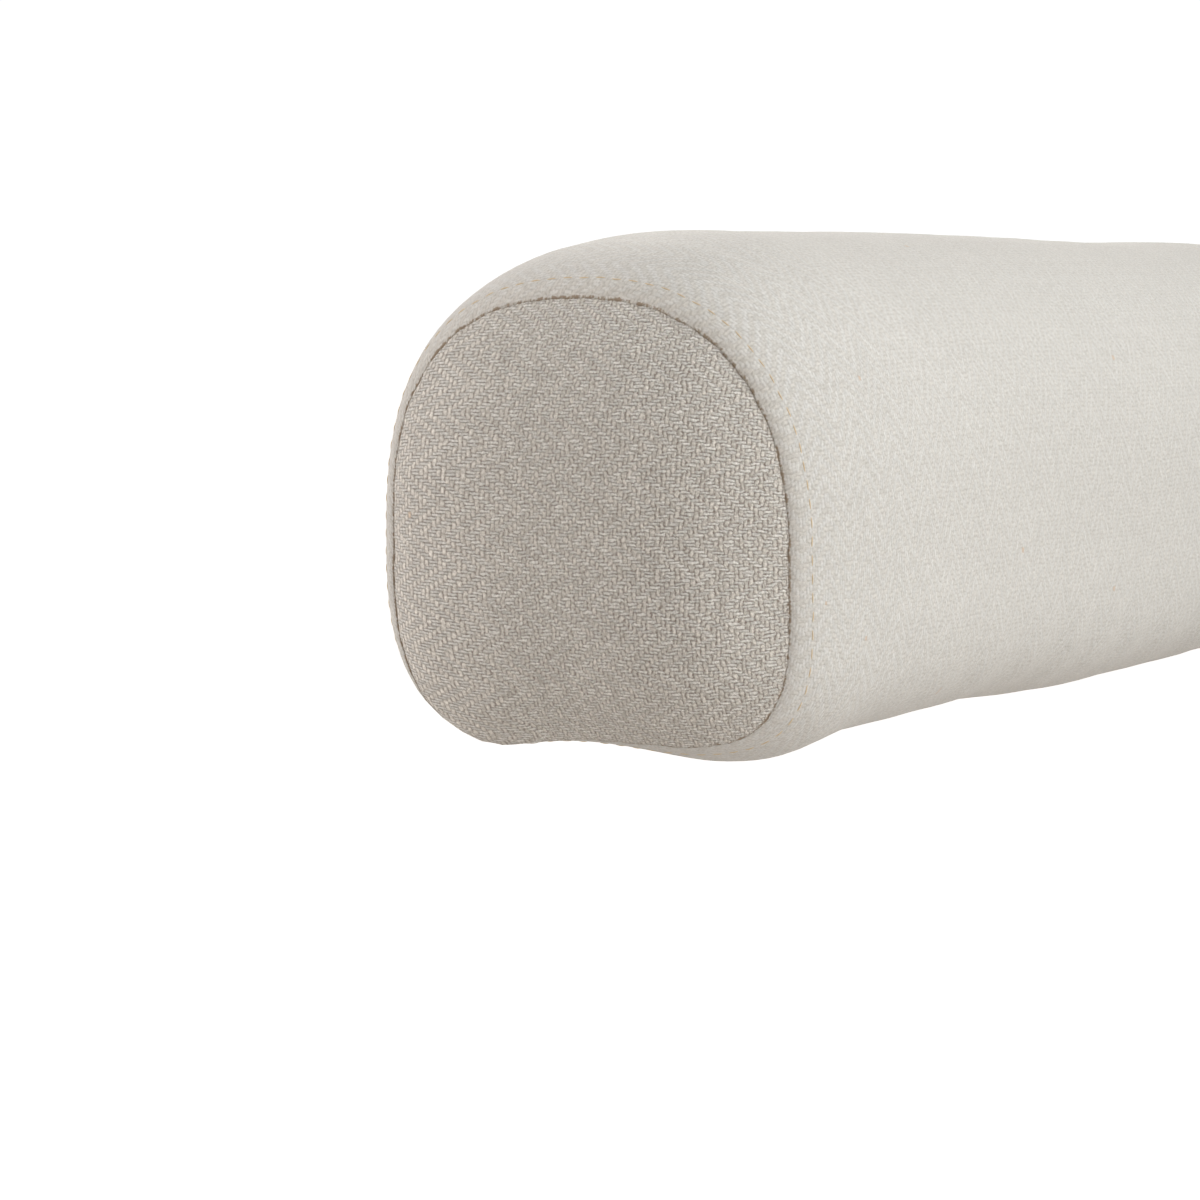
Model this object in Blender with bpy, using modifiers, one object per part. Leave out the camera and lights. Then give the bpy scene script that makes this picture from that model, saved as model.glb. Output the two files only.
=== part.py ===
"""A two-seat loveseat: an upholstered seat box on flat steel legs, loose seat and back cushions, and one
padded roll, bent like a horseshoe, that makes both arms and the back. The arms run forward from the rear
legs with nothing under them. Metres, +Z up, front towards -Y, origin on the floor under the middle."""

import math

import bmesh
import bpy
from mathutils import Matrix, Vector
from mathutils.bvhtree import BVHTree

# Overall sizes
WIDTH = 1.36  # outside of one arm to the outside of the other
DEPTH = 0.76  # front of the seat cushions to the outside of the back
ROLL_TOP = 0.72  # floor to the top of the arms

# The padded roll: an arched top over straight sides and a flat bottom with round corners
ROLL_WIDTH = 0.149
ROLL_HEIGHT = 0.138
ROLL_WAIST = 0.055  # bottom of the roll up to its widest level
ARCH_POWER = 2.4  # roundness of the arched top, 2 for a true ellipse
BASE_POWER = 4.1  # roundness of the bottom corners
ROLL_BEND = 0.19  # radius of the roll's middle line at the two back corners
ARM_SETBACK = 0.010  # front of an arm behind the front of the seat cushions

# The sewn end of an arm: the roll rounds over to a seam, and a domed panel closes it
SEAM_IN_SIDE = 0.017  # how far the seam lies inside the roll's outline, at the sides
SEAM_IN_TOP = 0.019
SEAM_IN_BOTTOM = 0.004
SHOULDER = 0.060  # length over which the roll rounds over
CAP_DOME = 0.012
CAP_RIM = 0.002  # thickness of the end panel at its seam

# The steel tube inside the roll
CORE_RADIUS = 0.016
CORE_WALL = 0.0025
CORE_SETBACK = 0.045  # end of the tube behind the seam

# The seat box
BOX_TOP = 0.30
BOX_BOTTOM = 0.165
BOX_SETBACK = 0.02  # front of the box behind the front of the seat cushions
BOX_CORNER = 0.015
BOX_COVER = 0.006  # padded cover on the sides of the box
RAIL_THICK = 0.022
CENTRE_RAIL_DROP = 0.030  # room for the webbing to sink under a sitter
CENTRE_RAIL_LIFT = 0.020  # bottom of the centre rail above the bottom of the others
BLOCK_LEG = 0.075
BLOCK_LIFT = 0.030  # bottom of a corner block above the bottom of the rails
BLOCK_NOSE = 0.012  # flat left at the two thin ends of a corner block
WEB_COUNT = 8
WEB_WIDTH = 0.060
WEB_THICK = 0.002
DECK_THICK = 0.012
DUST_THICK = 0.0015
DUST_LIP = 0.003  # how far the box cover hangs below the dust cover

# Legs of flat steel bar, with plastic shoes and bolts
LEG_WIDTH = 0.040
LEG_THICK = 0.012
LEG_EDGE = 0.0015
FRONT_LEG_BACK = 0.070  # front of the box to the middle of a front leg
FRONT_LEG_DROP = 0.020  # top of a front leg under the top of the box
FRONT_LEG_ROUND = 0.012  # radius of a front leg's top corners
CORNER_LEG_TURN = math.radians(50)  # how far round the roll's bend a corner leg stands
BACK_LEG_X = 0.230  # middle of the loveseat to the middle of a back leg
SHOE_WALL = 0.003
SHOE_FLOOR = 0.004
SHOE_HEIGHT = 0.018
BOLT_RADIUS = 0.004
BOLT_BITE = 0.016  # how far a bolt runs into a rail
BOLT_HEAD_RADIUS = 0.0075
BOLT_HEAD_HEIGHT = 0.0042
BOLT_LOW = 0.038  # lower bolt above the bottom of the box
BOLT_HIGH = 0.050  # upper bolt below the top of the box

# Cushions
SEAT_INSET = 0.006  # side of a seat cushion inside the side of the box
SEAT_REAR_INSET = 0.012
SEAT_GAP = 0.004
SEAT_BOXING = 0.105
SEAT_CROWN = 0.030
BACK_SIDE_GAP = 0.053  # side of a back cushion to the inside of the arm
BACK_TALL = 0.400
BACK_BOXING = 0.100
BACK_CROWN = 0.030
BACK_LEAN = math.radians(12)
BACK_GAP = 0.006
CUSHION_ROUND = 0.028
CUSHION_PULL = 0.010  # how far a side is drawn in between its corners

FIT = 0.0003  # clearance where one piece seats on another
SOFT_FIT = 0.0006  # clearance where a cushion leans on another soft piece
HOLE_FIT = 0.0004  # radial clearance of a bolt in its hole

SECTION_POINTS = 32
BEND_STEPS = 9
SHOULDER_STEPS = 6
CORNER_STEPS = 4
CUSHION_CUTS = 7
PROBE_STEPS = 6  # points along a face's edge when a cushion is set down
TURN_STEPS = 12
CUT_PAST = 0.01  # how far a cutter runs past the wall that it cuts

arm_x = WIDTH / 2 - ROLL_WIDTH / 2
back_y = DEPTH / 2 - ROLL_WIDTH / 2
seam_y = -DEPTH / 2 + ARM_SETBACK + CAP_DOME
roll_bottom = ROLL_TOP - ROLL_HEIGHT
waist_z = roll_bottom + ROLL_WAIST
core_z = roll_bottom + ROLL_HEIGHT / 2
box_front = -DEPTH / 2 + BOX_SETBACK
box_rear = back_y - LEG_THICK / 2 - FIT
corner_leg_x = arm_x - ROLL_BEND * (1 - math.cos(CORNER_LEG_TURN))
corner_leg_y = back_y - ROLL_BEND * (1 - math.sin(CORNER_LEG_TURN))
box_side = corner_leg_x - LEG_THICK / 2 - FIT
web_top = BOX_TOP - DECK_THICK - FIT
rail_top = web_top - WEB_THICK - FIT
dust_bottom = BOX_BOTTOM + DUST_LIP
rail_bottom = dust_bottom + DUST_THICK + FIT
rail_x = box_side - BOX_COVER - FIT  # outer face of a side rail
rail_front = box_front + BOX_COVER + FIT
rail_rear = box_rear - BOX_COVER - FIT
leg_foot = SHOE_FLOOR + FIT
leg_head = core_z - CORE_RADIUS - FIT


def clear_scene():
    for obj in list(bpy.data.objects):
        bpy.data.objects.remove(obj)


def collection(name):
    made = bpy.data.collections.new(name)
    bpy.context.scene.collection.children.link(made)
    return made


def material(name, colour, roughness, metallic=0.0):
    made = bpy.data.materials.new(name)
    made.use_nodes = True
    shader = made.node_tree.nodes["Principled BSDF"]
    shader.inputs["Base Color"].default_value = (*colour, 1.0)
    shader.inputs["Roughness"].default_value = roughness
    shader.inputs["Metallic"].default_value = metallic
    return made


clear_scene()
parts = collection("Loveseat")
cutters = collection("Cutters")
fabric = material("cream_fabric", (0.69, 0.665, 0.62), 0.9)
steel = material("black_steel", (0.02, 0.02, 0.022), 0.45, 0.6)
bare_steel = material("bare_steel", (0.45, 0.45, 0.46), 0.4, 1.0)
plastic = material("black_plastic", (0.03, 0.03, 0.03), 0.5)
timber = material("pale_timber", (0.62, 0.46, 0.29), 0.6)
webbing = material("elastic_webbing", (0.16, 0.15, 0.14), 0.8)
felt = material("deck_felt", (0.55, 0.53, 0.49), 0.95)
dust_cloth = material("dust_cloth", (0.03, 0.03, 0.03), 0.9)

root = bpy.data.objects.new("loveseat", None)
parts.objects.link(root)


def add(name, data, finish, location=(0, 0, 0)):
    """A part of the loveseat, parented to its empty."""
    obj = bpy.data.objects.new(name, data)
    obj.location = location
    obj.parent = root
    data.materials.clear()
    data.materials.append(finish)
    parts.objects.link(obj)
    return obj


def add_cutter(name, mesh, location=(0, 0, 0)):
    obj = bpy.data.objects.new(name, mesh)
    obj.location = location
    obj.hide_render = True
    obj.display_type = "WIRE"
    cutters.objects.link(obj)
    return obj


def cut(obj, cutter):
    modifier = obj.modifiers.new("cut " + cutter.name, "BOOLEAN")
    modifier.operation = "DIFFERENCE"
    modifier.object = cutter


def mesh_of(name, build):
    """A mesh made by build(bm), with its faces turned outwards."""
    bm = bmesh.new()
    build(bm)
    bmesh.ops.recalc_face_normals(bm, faces=bm.faces)
    mesh = bpy.data.meshes.new(name)
    bm.to_mesh(mesh)
    bm.free()
    return mesh


def shade_round(mesh, angle=40):
    mesh.shade_smooth()
    mesh.set_sharp_from_angle(angle=math.radians(angle))


def box_mesh(name, size):
    def build(bm):
        bmesh.ops.create_cube(bm, size=1.0)
        bmesh.ops.scale(bm, vec=size, verts=bm.verts)

    return mesh_of(name, build)


def bar(name, finish, low, high, edge=0.0):
    """A straight board or bar between two corners, with its edges rounded."""
    low, high = Vector(low), Vector(high)
    obj = add(name, box_mesh(name, high - low), finish, (low + high) / 2)
    if edge:
        bevel = obj.modifiers.new("rounded edges", "BEVEL")
        bevel.width = edge
        bevel.segments = 2
    return obj


def round_edges(obj, chosen, radius):
    """Rounds the edges for which chosen(middle, direction) is true, both in the object's own axes."""
    bm = bmesh.new()
    bm.from_mesh(obj.data)
    edges = []
    for edge in bm.edges:
        start, end = (vert.co for vert in edge.verts)
        if chosen((start + end) / 2, (end - start).normalized()):
            edges.append(edge)
    bmesh.ops.bevel(bm, geom=edges, offset=radius, segments=CORNER_STEPS, profile=0.5, affect="EDGES")
    bm.to_mesh(obj.data)
    bm.free()


def box_cutter(name, low, high):
    low, high = Vector(low), Vector(high)
    return add_cutter(name, box_mesh(name, high - low), (low + high) / 2)


def loft(bm, rings):
    """Joins rings of as many points each, and closes both ends."""
    loops = [[bm.verts.new(point) for point in ring] for ring in rings]
    for here, after in zip(loops, loops[1:]):
        for k in range(len(here)):
            nxt = (k + 1) % len(here)
            bm.faces.new((here[k], here[nxt], after[nxt], after[k]))
    bm.faces.new(loops[0])
    bm.faces.new(loops[-1])


# The horseshoe line that the roll and its tube follow

arm_run = back_y - ROLL_BEND - seam_y  # straight part of an arm, behind its seam
bend_run = ROLL_BEND * math.pi / 2
back_run = 2 * (arm_x - ROLL_BEND)
whole_run = 2 * arm_run + 2 * bend_run + back_run


def line_at(run):
    """(x, y, heading) at a distance along the line, from the left arm's seam round to the right arm's."""
    if run > whole_run / 2:
        x, y, heading = line_at(whole_run - run)
        return -x, y, math.pi - (heading + math.pi)
    if run <= arm_run:
        return -arm_x, seam_y + run, math.pi / 2
    turned = min((run - arm_run) / ROLL_BEND, math.pi / 2)
    x = -arm_x + ROLL_BEND * (1 - math.cos(turned))
    y = back_y - ROLL_BEND * (1 - math.sin(turned))
    return x + max(0.0, run - arm_run - bend_run), y, math.pi / 2 - turned


def line_runs(start, ends):
    """Distances along half the line: those in ends, then the bend's steps, and the middle of the back."""
    bend = [arm_run + bend_run * k / BEND_STEPS for k in range(BEND_STEPS + 1)]
    half = [start + run for run in ends] + bend
    return half + [whole_run / 2] + [whole_run - run for run in reversed(half)]


def ring_at(run, outline):
    """The outline, given as (across, up) from the roll's waist, set square to the line."""
    x, y, heading = line_at(run)
    across = Vector((-math.sin(heading), math.cos(heading), 0))
    return [Vector((x, y, waist_z)) + across * u + Vector((0, 0, up)) for u, up in outline]


def padded_outline(half_width, rise, drop):
    """The roll's section: two superellipses that meet at the waist."""
    points = []
    for k in range(SECTION_POINTS):
        angle = 2 * math.pi * k / SECTION_POINTS
        across, up = math.cos(angle), math.sin(angle)
        power, reach = (ARCH_POWER, rise) if up >= 0 else (BASE_POWER, drop)
        spread = abs(across / half_width) ** power + abs(up / reach) ** power
        points.append((across * spread ** (-1 / power), up * spread ** (-1 / power)))
    return points


def outline_from_seam(distance):
    """The roll's section at a distance behind the seam, where it rounds over to its full size."""
    left = 1 - min(distance / SHOULDER, 1.0)
    inside = 1 - math.sqrt(1 - left * left)
    return padded_outline(
        ROLL_WIDTH / 2 - SEAM_IN_SIDE * inside,
        ROLL_HEIGHT - ROLL_WAIST - SEAM_IN_TOP * inside,
        ROLL_WAIST - SEAM_IN_BOTTOM * inside,
    )


def make_roll():
    turns = [math.pi / 2 * k / SHOULDER_STEPS for k in range(SHOULDER_STEPS + 1)]
    runs = line_runs(0.0, [SHOULDER * (1 - math.cos(turn)) for turn in turns])
    rings = [ring_at(run, outline_from_seam(min(run, whole_run - run))) for run in runs]
    mesh = mesh_of("horseshoe_roll", lambda bm: loft(bm, rings))
    shade_round(mesh)
    return add("horseshoe_roll", mesh, fabric)


def make_end_panel(name, side):
    """The domed panel sewn into the end of an arm. side is -1 for the left arm and 1 for the right."""
    outline = outline_from_seam(0.0)
    shares = [1.0, 1.0, 0.88, 0.66, 0.40, 0.15]
    depths = [0.0, CAP_RIM] + [CAP_RIM + (CAP_DOME - CAP_RIM) * (1 - s * s) for s in shares[2:]]

    def ring(share, depth):
        y = seam_y - FIT - depth
        return [Vector((side * arm_x + u * share, y, waist_z + up * share)) for u, up in outline]

    mesh = mesh_of(name, lambda bm: loft(bm, [ring(s, d) for s, d in zip(shares, depths)]))
    shade_round(mesh)
    return add(name, mesh, fabric)


def tube_outline(radius):
    """A round section along the middle of the roll, as (across, up) from its waist."""
    turns = [2 * math.pi * k / TURN_STEPS for k in range(TURN_STEPS)]
    return [(radius * math.cos(turn), radius * math.sin(turn) + core_z - waist_z) for turn in turns]


def make_core():
    """The bent steel tube, open at both ends, and the cutter that leaves its room in the roll."""
    runs = line_runs(CORE_SETBACK, [0.0])
    curve = bpy.data.curves.new("core_tube", "CURVE")
    curve.dimensions = "3D"
    curve.bevel_depth = CORE_RADIUS
    curve.bevel_resolution = 2
    spline = curve.splines.new("POLY")
    spline.points.add(len(runs) - 1)
    for point, run in zip(spline.points, runs):
        x, y, _ = line_at(run)
        point.co = (x, y, core_z, 1.0)
    core = add("core_tube", curve, bare_steel)
    wall = core.modifiers.new("tube wall", "SOLIDIFY")
    wall.thickness = CORE_WALL
    wall.offset = -1.0
    room_runs = line_runs(CORE_SETBACK - CUT_PAST, [0.0])
    outline = tube_outline((CORE_RADIUS + FIT) / math.cos(math.pi / TURN_STEPS))
    rings = [ring_at(run, outline) for run in room_runs]
    return add_cutter("core_room", mesh_of("core_room", lambda bm: loft(bm, rings)))


# Legs, with their shoes and bolts


def leg_places():
    """Name, middle, outward direction and top of each leg. The rear ones carry the roll."""
    front_y = box_front + FRONT_LEG_BACK
    front_top = BOX_TOP - FRONT_LEG_DROP
    rearward = Vector((0, 1, 0))
    places = []
    for side, word in ((-1, "left"), (1, "right")):
        out = Vector((side, 0, 0))
        places.append((f"front_leg_{word}", Vector((side * corner_leg_x, front_y, 0)), out, front_top))
        places.append((f"corner_leg_{word}", Vector((side * corner_leg_x, corner_leg_y, 0)), out, leg_head))
        places.append((f"back_leg_{word}", Vector((side * BACK_LEG_X, back_y, 0)), rearward, leg_head))
    return places


def flat_box(middle, out, width, thick, low, high):
    """Corners of an upright box whose thin way lies along out."""
    half = Vector((thick / 2, width / 2, 0)) if out.x else Vector((width / 2, thick / 2, 0))
    return middle - half + Vector((0, 0, low)), middle + half + Vector((0, 0, high))


def bolt_profile():
    """Half outline of a round-headed bolt, from the crown of its head down to the tip of its shank."""
    shank = LEG_THICK + FIT + BOX_COVER + FIT + BOLT_BITE
    points = [(0.0, BOLT_HEAD_HEIGHT)]
    for k in range(1, 4):
        turn = math.pi / 2 * k / 4
        points.append((BOLT_HEAD_RADIUS * math.sin(turn), BOLT_HEAD_HEIGHT * math.cos(turn)))
    points += [(BOLT_HEAD_RADIUS, FIT), (BOLT_RADIUS, FIT), (BOLT_RADIUS, -shank), (0.0, -shank)]
    return points


def turned_mesh(name, profile):
    def build(bm):
        points = [bm.verts.new((x, 0, z)) for x, z in profile]
        for here, after in zip(points, points[1:]):
            bm.edges.new((here, after))

    return mesh_of(name, build)


def make_bolt(name, seat, out):
    bolt = add(name, turned_mesh(name, bolt_profile()), steel, seat)
    bolt.rotation_euler = out.to_track_quat("Z", "Y").to_euler()
    screw = bolt.modifiers.new("turned", "SCREW")
    screw.steps = TURN_STEPS
    screw.render_steps = TURN_STEPS
    screw.use_merge_vertices = True
    screw.merge_threshold = 0.00001
    return bolt


def bolt_hole(name, seat, out):
    """A cutter for one bolt: through the leg and the box cover, and blind in the rail."""
    outside = CUT_PAST
    inside = LEG_THICK + FIT + BOX_COVER + FIT + BOLT_BITE + FIT
    radius = (BOLT_RADIUS + HOLE_FIT) / math.cos(math.pi / TURN_STEPS)

    def build(bm):
        bmesh.ops.create_cone(
            bm, cap_ends=True, segments=TURN_STEPS, radius1=radius, radius2=radius, depth=outside + inside
        )
        bmesh.ops.translate(bm, vec=(0, 0, (outside - inside) / 2), verts=bm.verts)

    cutter = add_cutter(name, mesh_of(name, build), seat)
    cutter.rotation_euler = out.to_track_quat("Z", "Y").to_euler()
    return cutter


def make_leg(name, middle, out, top, roll, walls):
    """One leg with its shoe and two bolts. walls are the box cover and the rail that it is bolted to."""
    low, high = flat_box(middle, out, LEG_WIDTH, LEG_THICK, leg_foot, top)
    leg = bar(name, steel, low, high, LEG_EDGE)
    if top < roll_bottom:
        round_edges(leg, lambda at, run: at.z > 0 and abs(run.dot(out)) > 0.9, FRONT_LEG_ROUND)
    room_width, room_thick = LEG_WIDTH + 2 * FIT, LEG_THICK + 2 * FIT
    wall = 2 * SHOE_WALL
    low, high = flat_box(middle, out, room_width + wall, room_thick + wall, 0.0, SHOE_HEIGHT)
    shoe = bar(name.replace("leg", "shoe"), plastic, low, high, LEG_EDGE)
    low, high = flat_box(middle, out, room_width, room_thick, SHOE_FLOOR, top + FIT)
    room = box_cutter(name + "_room", low, high)
    cut(shoe, room)
    if top > roll_bottom:
        cut(roll, room)
    for level, word in ((BOX_BOTTOM + BOLT_LOW, "lower"), (BOX_TOP - BOLT_HIGH, "upper")):
        seat = middle + out * (LEG_THICK / 2) + Vector((0, 0, level))
        make_bolt(f"{name.replace('leg', 'bolt')}_{word}", seat, out)
        hole = bolt_hole(f"{name}_{word}_hole", seat, out)
        for wall in (leg, *walls):
            cut(wall, hole)


# The seat box


def ring_outline(half_x, low_y, high_y, radius):
    """Corners of a rectangle with round corners, as (x, y) points."""
    points = []
    middles = ((half_x, high_y, 0), (-half_x, high_y, 90), (-half_x, low_y, 180), (half_x, low_y, 270))
    for x, y, start in middles:
        centre_x = x - math.copysign(radius, x)
        centre_y = y - math.copysign(radius, y)
        for k in range(CORNER_STEPS + 1):
            turn = math.radians(start + 90 * k / CORNER_STEPS)
            points.append((centre_x + radius * math.cos(turn), centre_y + radius * math.sin(turn)))
    return points


def make_box_cover():
    """The padded fabric band round the box, an upright wall with a shell's thickness."""
    outline = ring_outline(box_side, box_front, box_rear, BOX_CORNER)

    def build(bm):
        low = [bm.verts.new((x, y, BOX_BOTTOM)) for x, y in outline]
        high = [bm.verts.new((x, y, BOX_TOP)) for x, y in outline]
        for k in range(len(outline)):
            nxt = (k + 1) % len(outline)
            bm.faces.new((low[k], low[nxt], high[nxt], high[k]))

    mesh = mesh_of("box_cover", build)
    shade_round(mesh)
    cover = add("box_cover", mesh, fabric)
    wall = cover.modifiers.new("cover thickness", "SOLIDIFY")
    wall.thickness = BOX_COVER
    wall.offset = -1.0
    wall.use_even_offset = True
    return cover


def flat_plate(name, finish, outline, low, high):
    """A flat outline of a given thickness."""
    curve = bpy.data.curves.new(name, "CURVE")
    curve.dimensions = "2D"
    curve.fill_mode = "BOTH"
    curve.extrude = (high - low) / 2
    spline = curve.splines.new("POLY")
    spline.points.add(len(outline) - 1)
    spline.use_cyclic_u = True
    for point, (x, y) in zip(spline.points, outline):
        point.co = (x, y, 0.0, 1.0)
    return add(name, curve, finish, (0, 0, (low + high) / 2))


def make_box_frame():
    """Four rails and a centre rail, with a glued block in each corner. Returns the rails by name."""
    inner_x = rail_x - RAIL_THICK - FIT
    rails = {}
    for side, word in ((-1, "left"), (1, "right")):
        near, far = sorted((side * rail_x, side * (rail_x - RAIL_THICK)))
        rail = bar(f"side_rail_{word}", timber, (near, rail_front, rail_bottom), (far, rail_rear, rail_top))
        corner = BOX_CORNER - BOX_COVER - FIT
        round_edges(rail, lambda at, run: at.x * side > 0 and abs(run.z) > 0.9, corner)
        rails[word] = rail
    for word, low_y in (("front", rail_front), ("back", rail_rear - RAIL_THICK)):
        high = (inner_x, low_y + RAIL_THICK, rail_top)
        rails[word] = bar(f"{word}_rail", timber, (-inner_x, low_y, rail_bottom), high)
    front, rear = rail_front + RAIL_THICK + FIT, rail_rear - RAIL_THICK - FIT
    low = (-RAIL_THICK / 2, front, rail_bottom + CENTRE_RAIL_LIFT)
    bar("centre_rail", timber, low, (RAIL_THICK / 2, rear, rail_top - CENTRE_RAIL_DROP))
    for side, side_word in ((-1, "left"), (1, "right")):
        x = side * inner_x
        for y, way, end_word in ((front, 1, "front"), (rear, -1, "rear")):
            outline = [
                (x, y),
                (x - side * BLOCK_LEG, y),
                (x - side * BLOCK_LEG, y + way * BLOCK_NOSE),
                (x - side * BLOCK_NOSE, y + way * BLOCK_LEG),
                (x, y + way * BLOCK_LEG),
            ]
            name = f"corner_block_{end_word}_{side_word}"
            flat_plate(name, timber, outline, rail_bottom + BLOCK_LIFT, rail_top)
    return rails


def make_deck():
    """Elastic webbing from rail to rail, the felt deck on it, and the dust cover underneath."""
    pitch = 2 * rail_x / WEB_COUNT
    for k in range(WEB_COUNT):
        x = -rail_x + pitch * (k + 0.5)
        low = (x - WEB_WIDTH / 2, rail_front, rail_top + FIT)
        bar(f"webbing_strap_{k + 1}", webbing, low, (x + WEB_WIDTH / 2, rail_rear, web_top))
    inner_corner = BOX_CORNER - BOX_COVER
    deck = ring_outline(rail_x, rail_front, rail_rear, inner_corner)
    flat_plate("deck_pad", felt, deck, web_top + FIT, BOX_TOP)
    flat_plate("dust_cover", dust_cloth, deck, dust_bottom, dust_bottom + DUST_THICK)


# Cushions


def cushion_mesh(name, width, length, boxing, crown_up, crown_down):
    """A filled cushion, lying flat on z = 0 where it has no crown below: round edges, sides drawn in
    between the corners, and a crown on its panels."""
    half = Vector((width / 2, length / 2, boxing / 2))
    edge = min(CUSHION_ROUND, boxing / 2)
    core = half - Vector((edge, edge, edge))

    def place(corner):
        a, b, c = (math.sin(math.pi / 2 * value) for value in corner)
        point = Vector((a * half.x, b * half.y, c * half.z))
        inner = Vector([max(-limit, min(limit, value)) for value, limit in zip(point, core)])
        out = point - inner
        point = inner + out.normalized() * min(edge, out.length)
        swell = (1 - a * a) * (1 - b * b)
        point.x -= a * CUSHION_PULL * (1 - b * b)
        point.y -= b * CUSHION_PULL * (1 - a * a)
        point.z += swell * (crown_up * max(c, 0.0) + crown_down * min(c, 0.0))
        return point + Vector((0, 0, half.z + crown_down))

    def build(bm):
        bmesh.ops.create_cube(bm, size=2.0)
        bmesh.ops.subdivide_edges(bm, edges=bm.edges, cuts=CUSHION_CUTS, use_grid_fill=True)
        for vert in bm.verts:
            vert.co = place(vert.co)
        fill_x = half.x / max(vert.co.x for vert in bm.verts)
        fill_y = half.y / max(vert.co.y for vert in bm.verts)
        bmesh.ops.scale(bm, vec=(fill_x, fill_y, 1.0), verts=bm.verts)

    mesh = mesh_of(name, build)
    shade_round(mesh)
    return mesh


def make_seat_cushions():
    width = box_side - SEAT_INSET - SEAT_GAP / 2
    rear = box_rear - SEAT_REAR_INSET
    length = rear + DEPTH / 2
    made = []
    for side, word in ((-1, "left"), (1, "right")):
        mesh = cushion_mesh(f"seat_cushion_{word}", width, length, SEAT_BOXING, SEAT_CROWN, 0.0)
        where = (side * (width + SEAT_GAP) / 2, rear - length / 2, BOX_TOP + FIT)
        made.append(add(mesh.name, mesh, fabric, where))
    return made


def world_tree(obj):
    """Points spread over the object's faces, in the world, and a search tree of the faces."""
    bpy.context.view_layer.update()
    seen = obj.evaluated_get(bpy.context.evaluated_depsgraph_get())
    mesh = seen.to_mesh()
    points = [seen.matrix_world @ vert.co for vert in mesh.vertices]
    faces = [tuple(face.vertices) for face in mesh.polygons]
    seen.to_mesh_clear()
    spread = list(points)
    shares = [k / PROBE_STEPS for k in range(PROBE_STEPS + 1)]
    for a, b, c, d in (face for face in faces if len(face) == 4):
        for share in shares:
            low, high = points[a].lerp(points[b], share), points[d].lerp(points[c], share)
            spread += [low.lerp(high, other) for other in shares]
    return spread, BVHTree.FromPolygons(points, faces)


def gap_along(moving, fixed, way):
    """How far moving can go along way before it meets fixed."""
    points, tree = world_tree(moving)
    other_points, other_tree = world_tree(fixed)
    found = [other_tree.ray_cast(point, way)[3] for point in points]
    found += [tree.ray_cast(point, -way)[3] for point in other_points]
    return min(distance for distance in found if distance is not None)


def make_back_cushions(seats, roll):
    """Loose back cushions, set down on the seat and leant against the roll."""
    down, rearward = Vector((0, 0, -1)), Vector((0, 1, 0))
    width = arm_x - ROLL_WIDTH / 2 - BACK_SIDE_GAP - BACK_GAP / 2
    high = BOX_TOP + SEAT_BOXING + SEAT_CROWN + BACK_TALL
    for side, seat in zip((-1, 1), seats):
        word = "left" if side < 0 else "right"
        mesh = cushion_mesh(f"back_cushion_{word}", width, BACK_TALL, BACK_BOXING, BACK_CROWN, BACK_CROWN)
        cushion = add(mesh.name, mesh, fabric)
        cushion.rotation_euler = (math.pi / 2 - BACK_LEAN, 0, 0)
        cushion.location = (side * (width + BACK_GAP) / 2, back_y - ROLL_WIDTH - ROLL_BEND / 2, high)
        for _ in range(4):
            fall = gap_along(cushion, seat, down) - SOFT_FIT
            cushion.location.z -= fall
            cushion.location.y -= max(fall, 0.0) * math.tan(BACK_LEAN)
            cushion.location.y += gap_along(cushion, roll, rearward) - SOFT_FIT


def make_loveseat():
    roll = make_roll()
    make_end_panel("end_panel_left", -1)
    make_end_panel("end_panel_right", 1)
    core_room = make_core()
    seats = make_seat_cushions()
    make_back_cushions(seats, roll)
    cover = make_box_cover()
    rails = make_box_frame()
    make_deck()
    cut(roll, core_room)
    for name, middle, out, top in leg_places():
        rail = rails["back"] if out.y else rails["left" if out.x < 0 else "right"]
        make_leg(name, middle, out, top, roll, (cover, rail))


make_loveseat()
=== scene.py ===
import math

import bmesh
import bpy
import numpy as np
from mathutils import Matrix, Vector, noise


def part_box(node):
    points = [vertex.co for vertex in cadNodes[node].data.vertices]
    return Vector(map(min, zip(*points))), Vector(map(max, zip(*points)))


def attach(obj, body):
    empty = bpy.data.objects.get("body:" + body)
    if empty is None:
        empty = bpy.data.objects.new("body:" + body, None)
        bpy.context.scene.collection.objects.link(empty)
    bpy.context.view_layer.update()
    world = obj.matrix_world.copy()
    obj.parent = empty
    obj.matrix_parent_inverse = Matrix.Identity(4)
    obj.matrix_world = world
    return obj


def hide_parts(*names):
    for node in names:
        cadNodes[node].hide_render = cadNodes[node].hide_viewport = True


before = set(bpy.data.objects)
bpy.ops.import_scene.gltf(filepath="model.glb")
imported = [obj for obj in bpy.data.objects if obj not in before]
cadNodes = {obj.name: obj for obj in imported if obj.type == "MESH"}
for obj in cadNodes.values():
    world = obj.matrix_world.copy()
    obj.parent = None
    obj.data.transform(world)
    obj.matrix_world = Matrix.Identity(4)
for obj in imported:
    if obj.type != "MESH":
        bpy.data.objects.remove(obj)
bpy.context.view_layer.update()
scene = bpy.context.scene
print("frame loaded:", len(cadNodes), "nodes")


# small helpers for meshes


def smoothStep(value, low, high):
    share = np.clip((np.asarray(value, float) - low) / (high - low), 0, 1)
    return share * share * (3 - 2 * share)


def bell(value, width):
    return np.exp(-np.square(np.asarray(value, float) / width))


def dip(value, depthAndWidth):
    depth, width = depthAndWidth
    return depth * bell(value, width)


def softNoise(points, size, shift=0.0):
    # one value from about -1 to 1 for each point, size is the lump size in metres
    scaled = np.asarray(points) / size + shift
    return np.array([noise.noise(Vector(p)) for p in scaled.tolist()])


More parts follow.
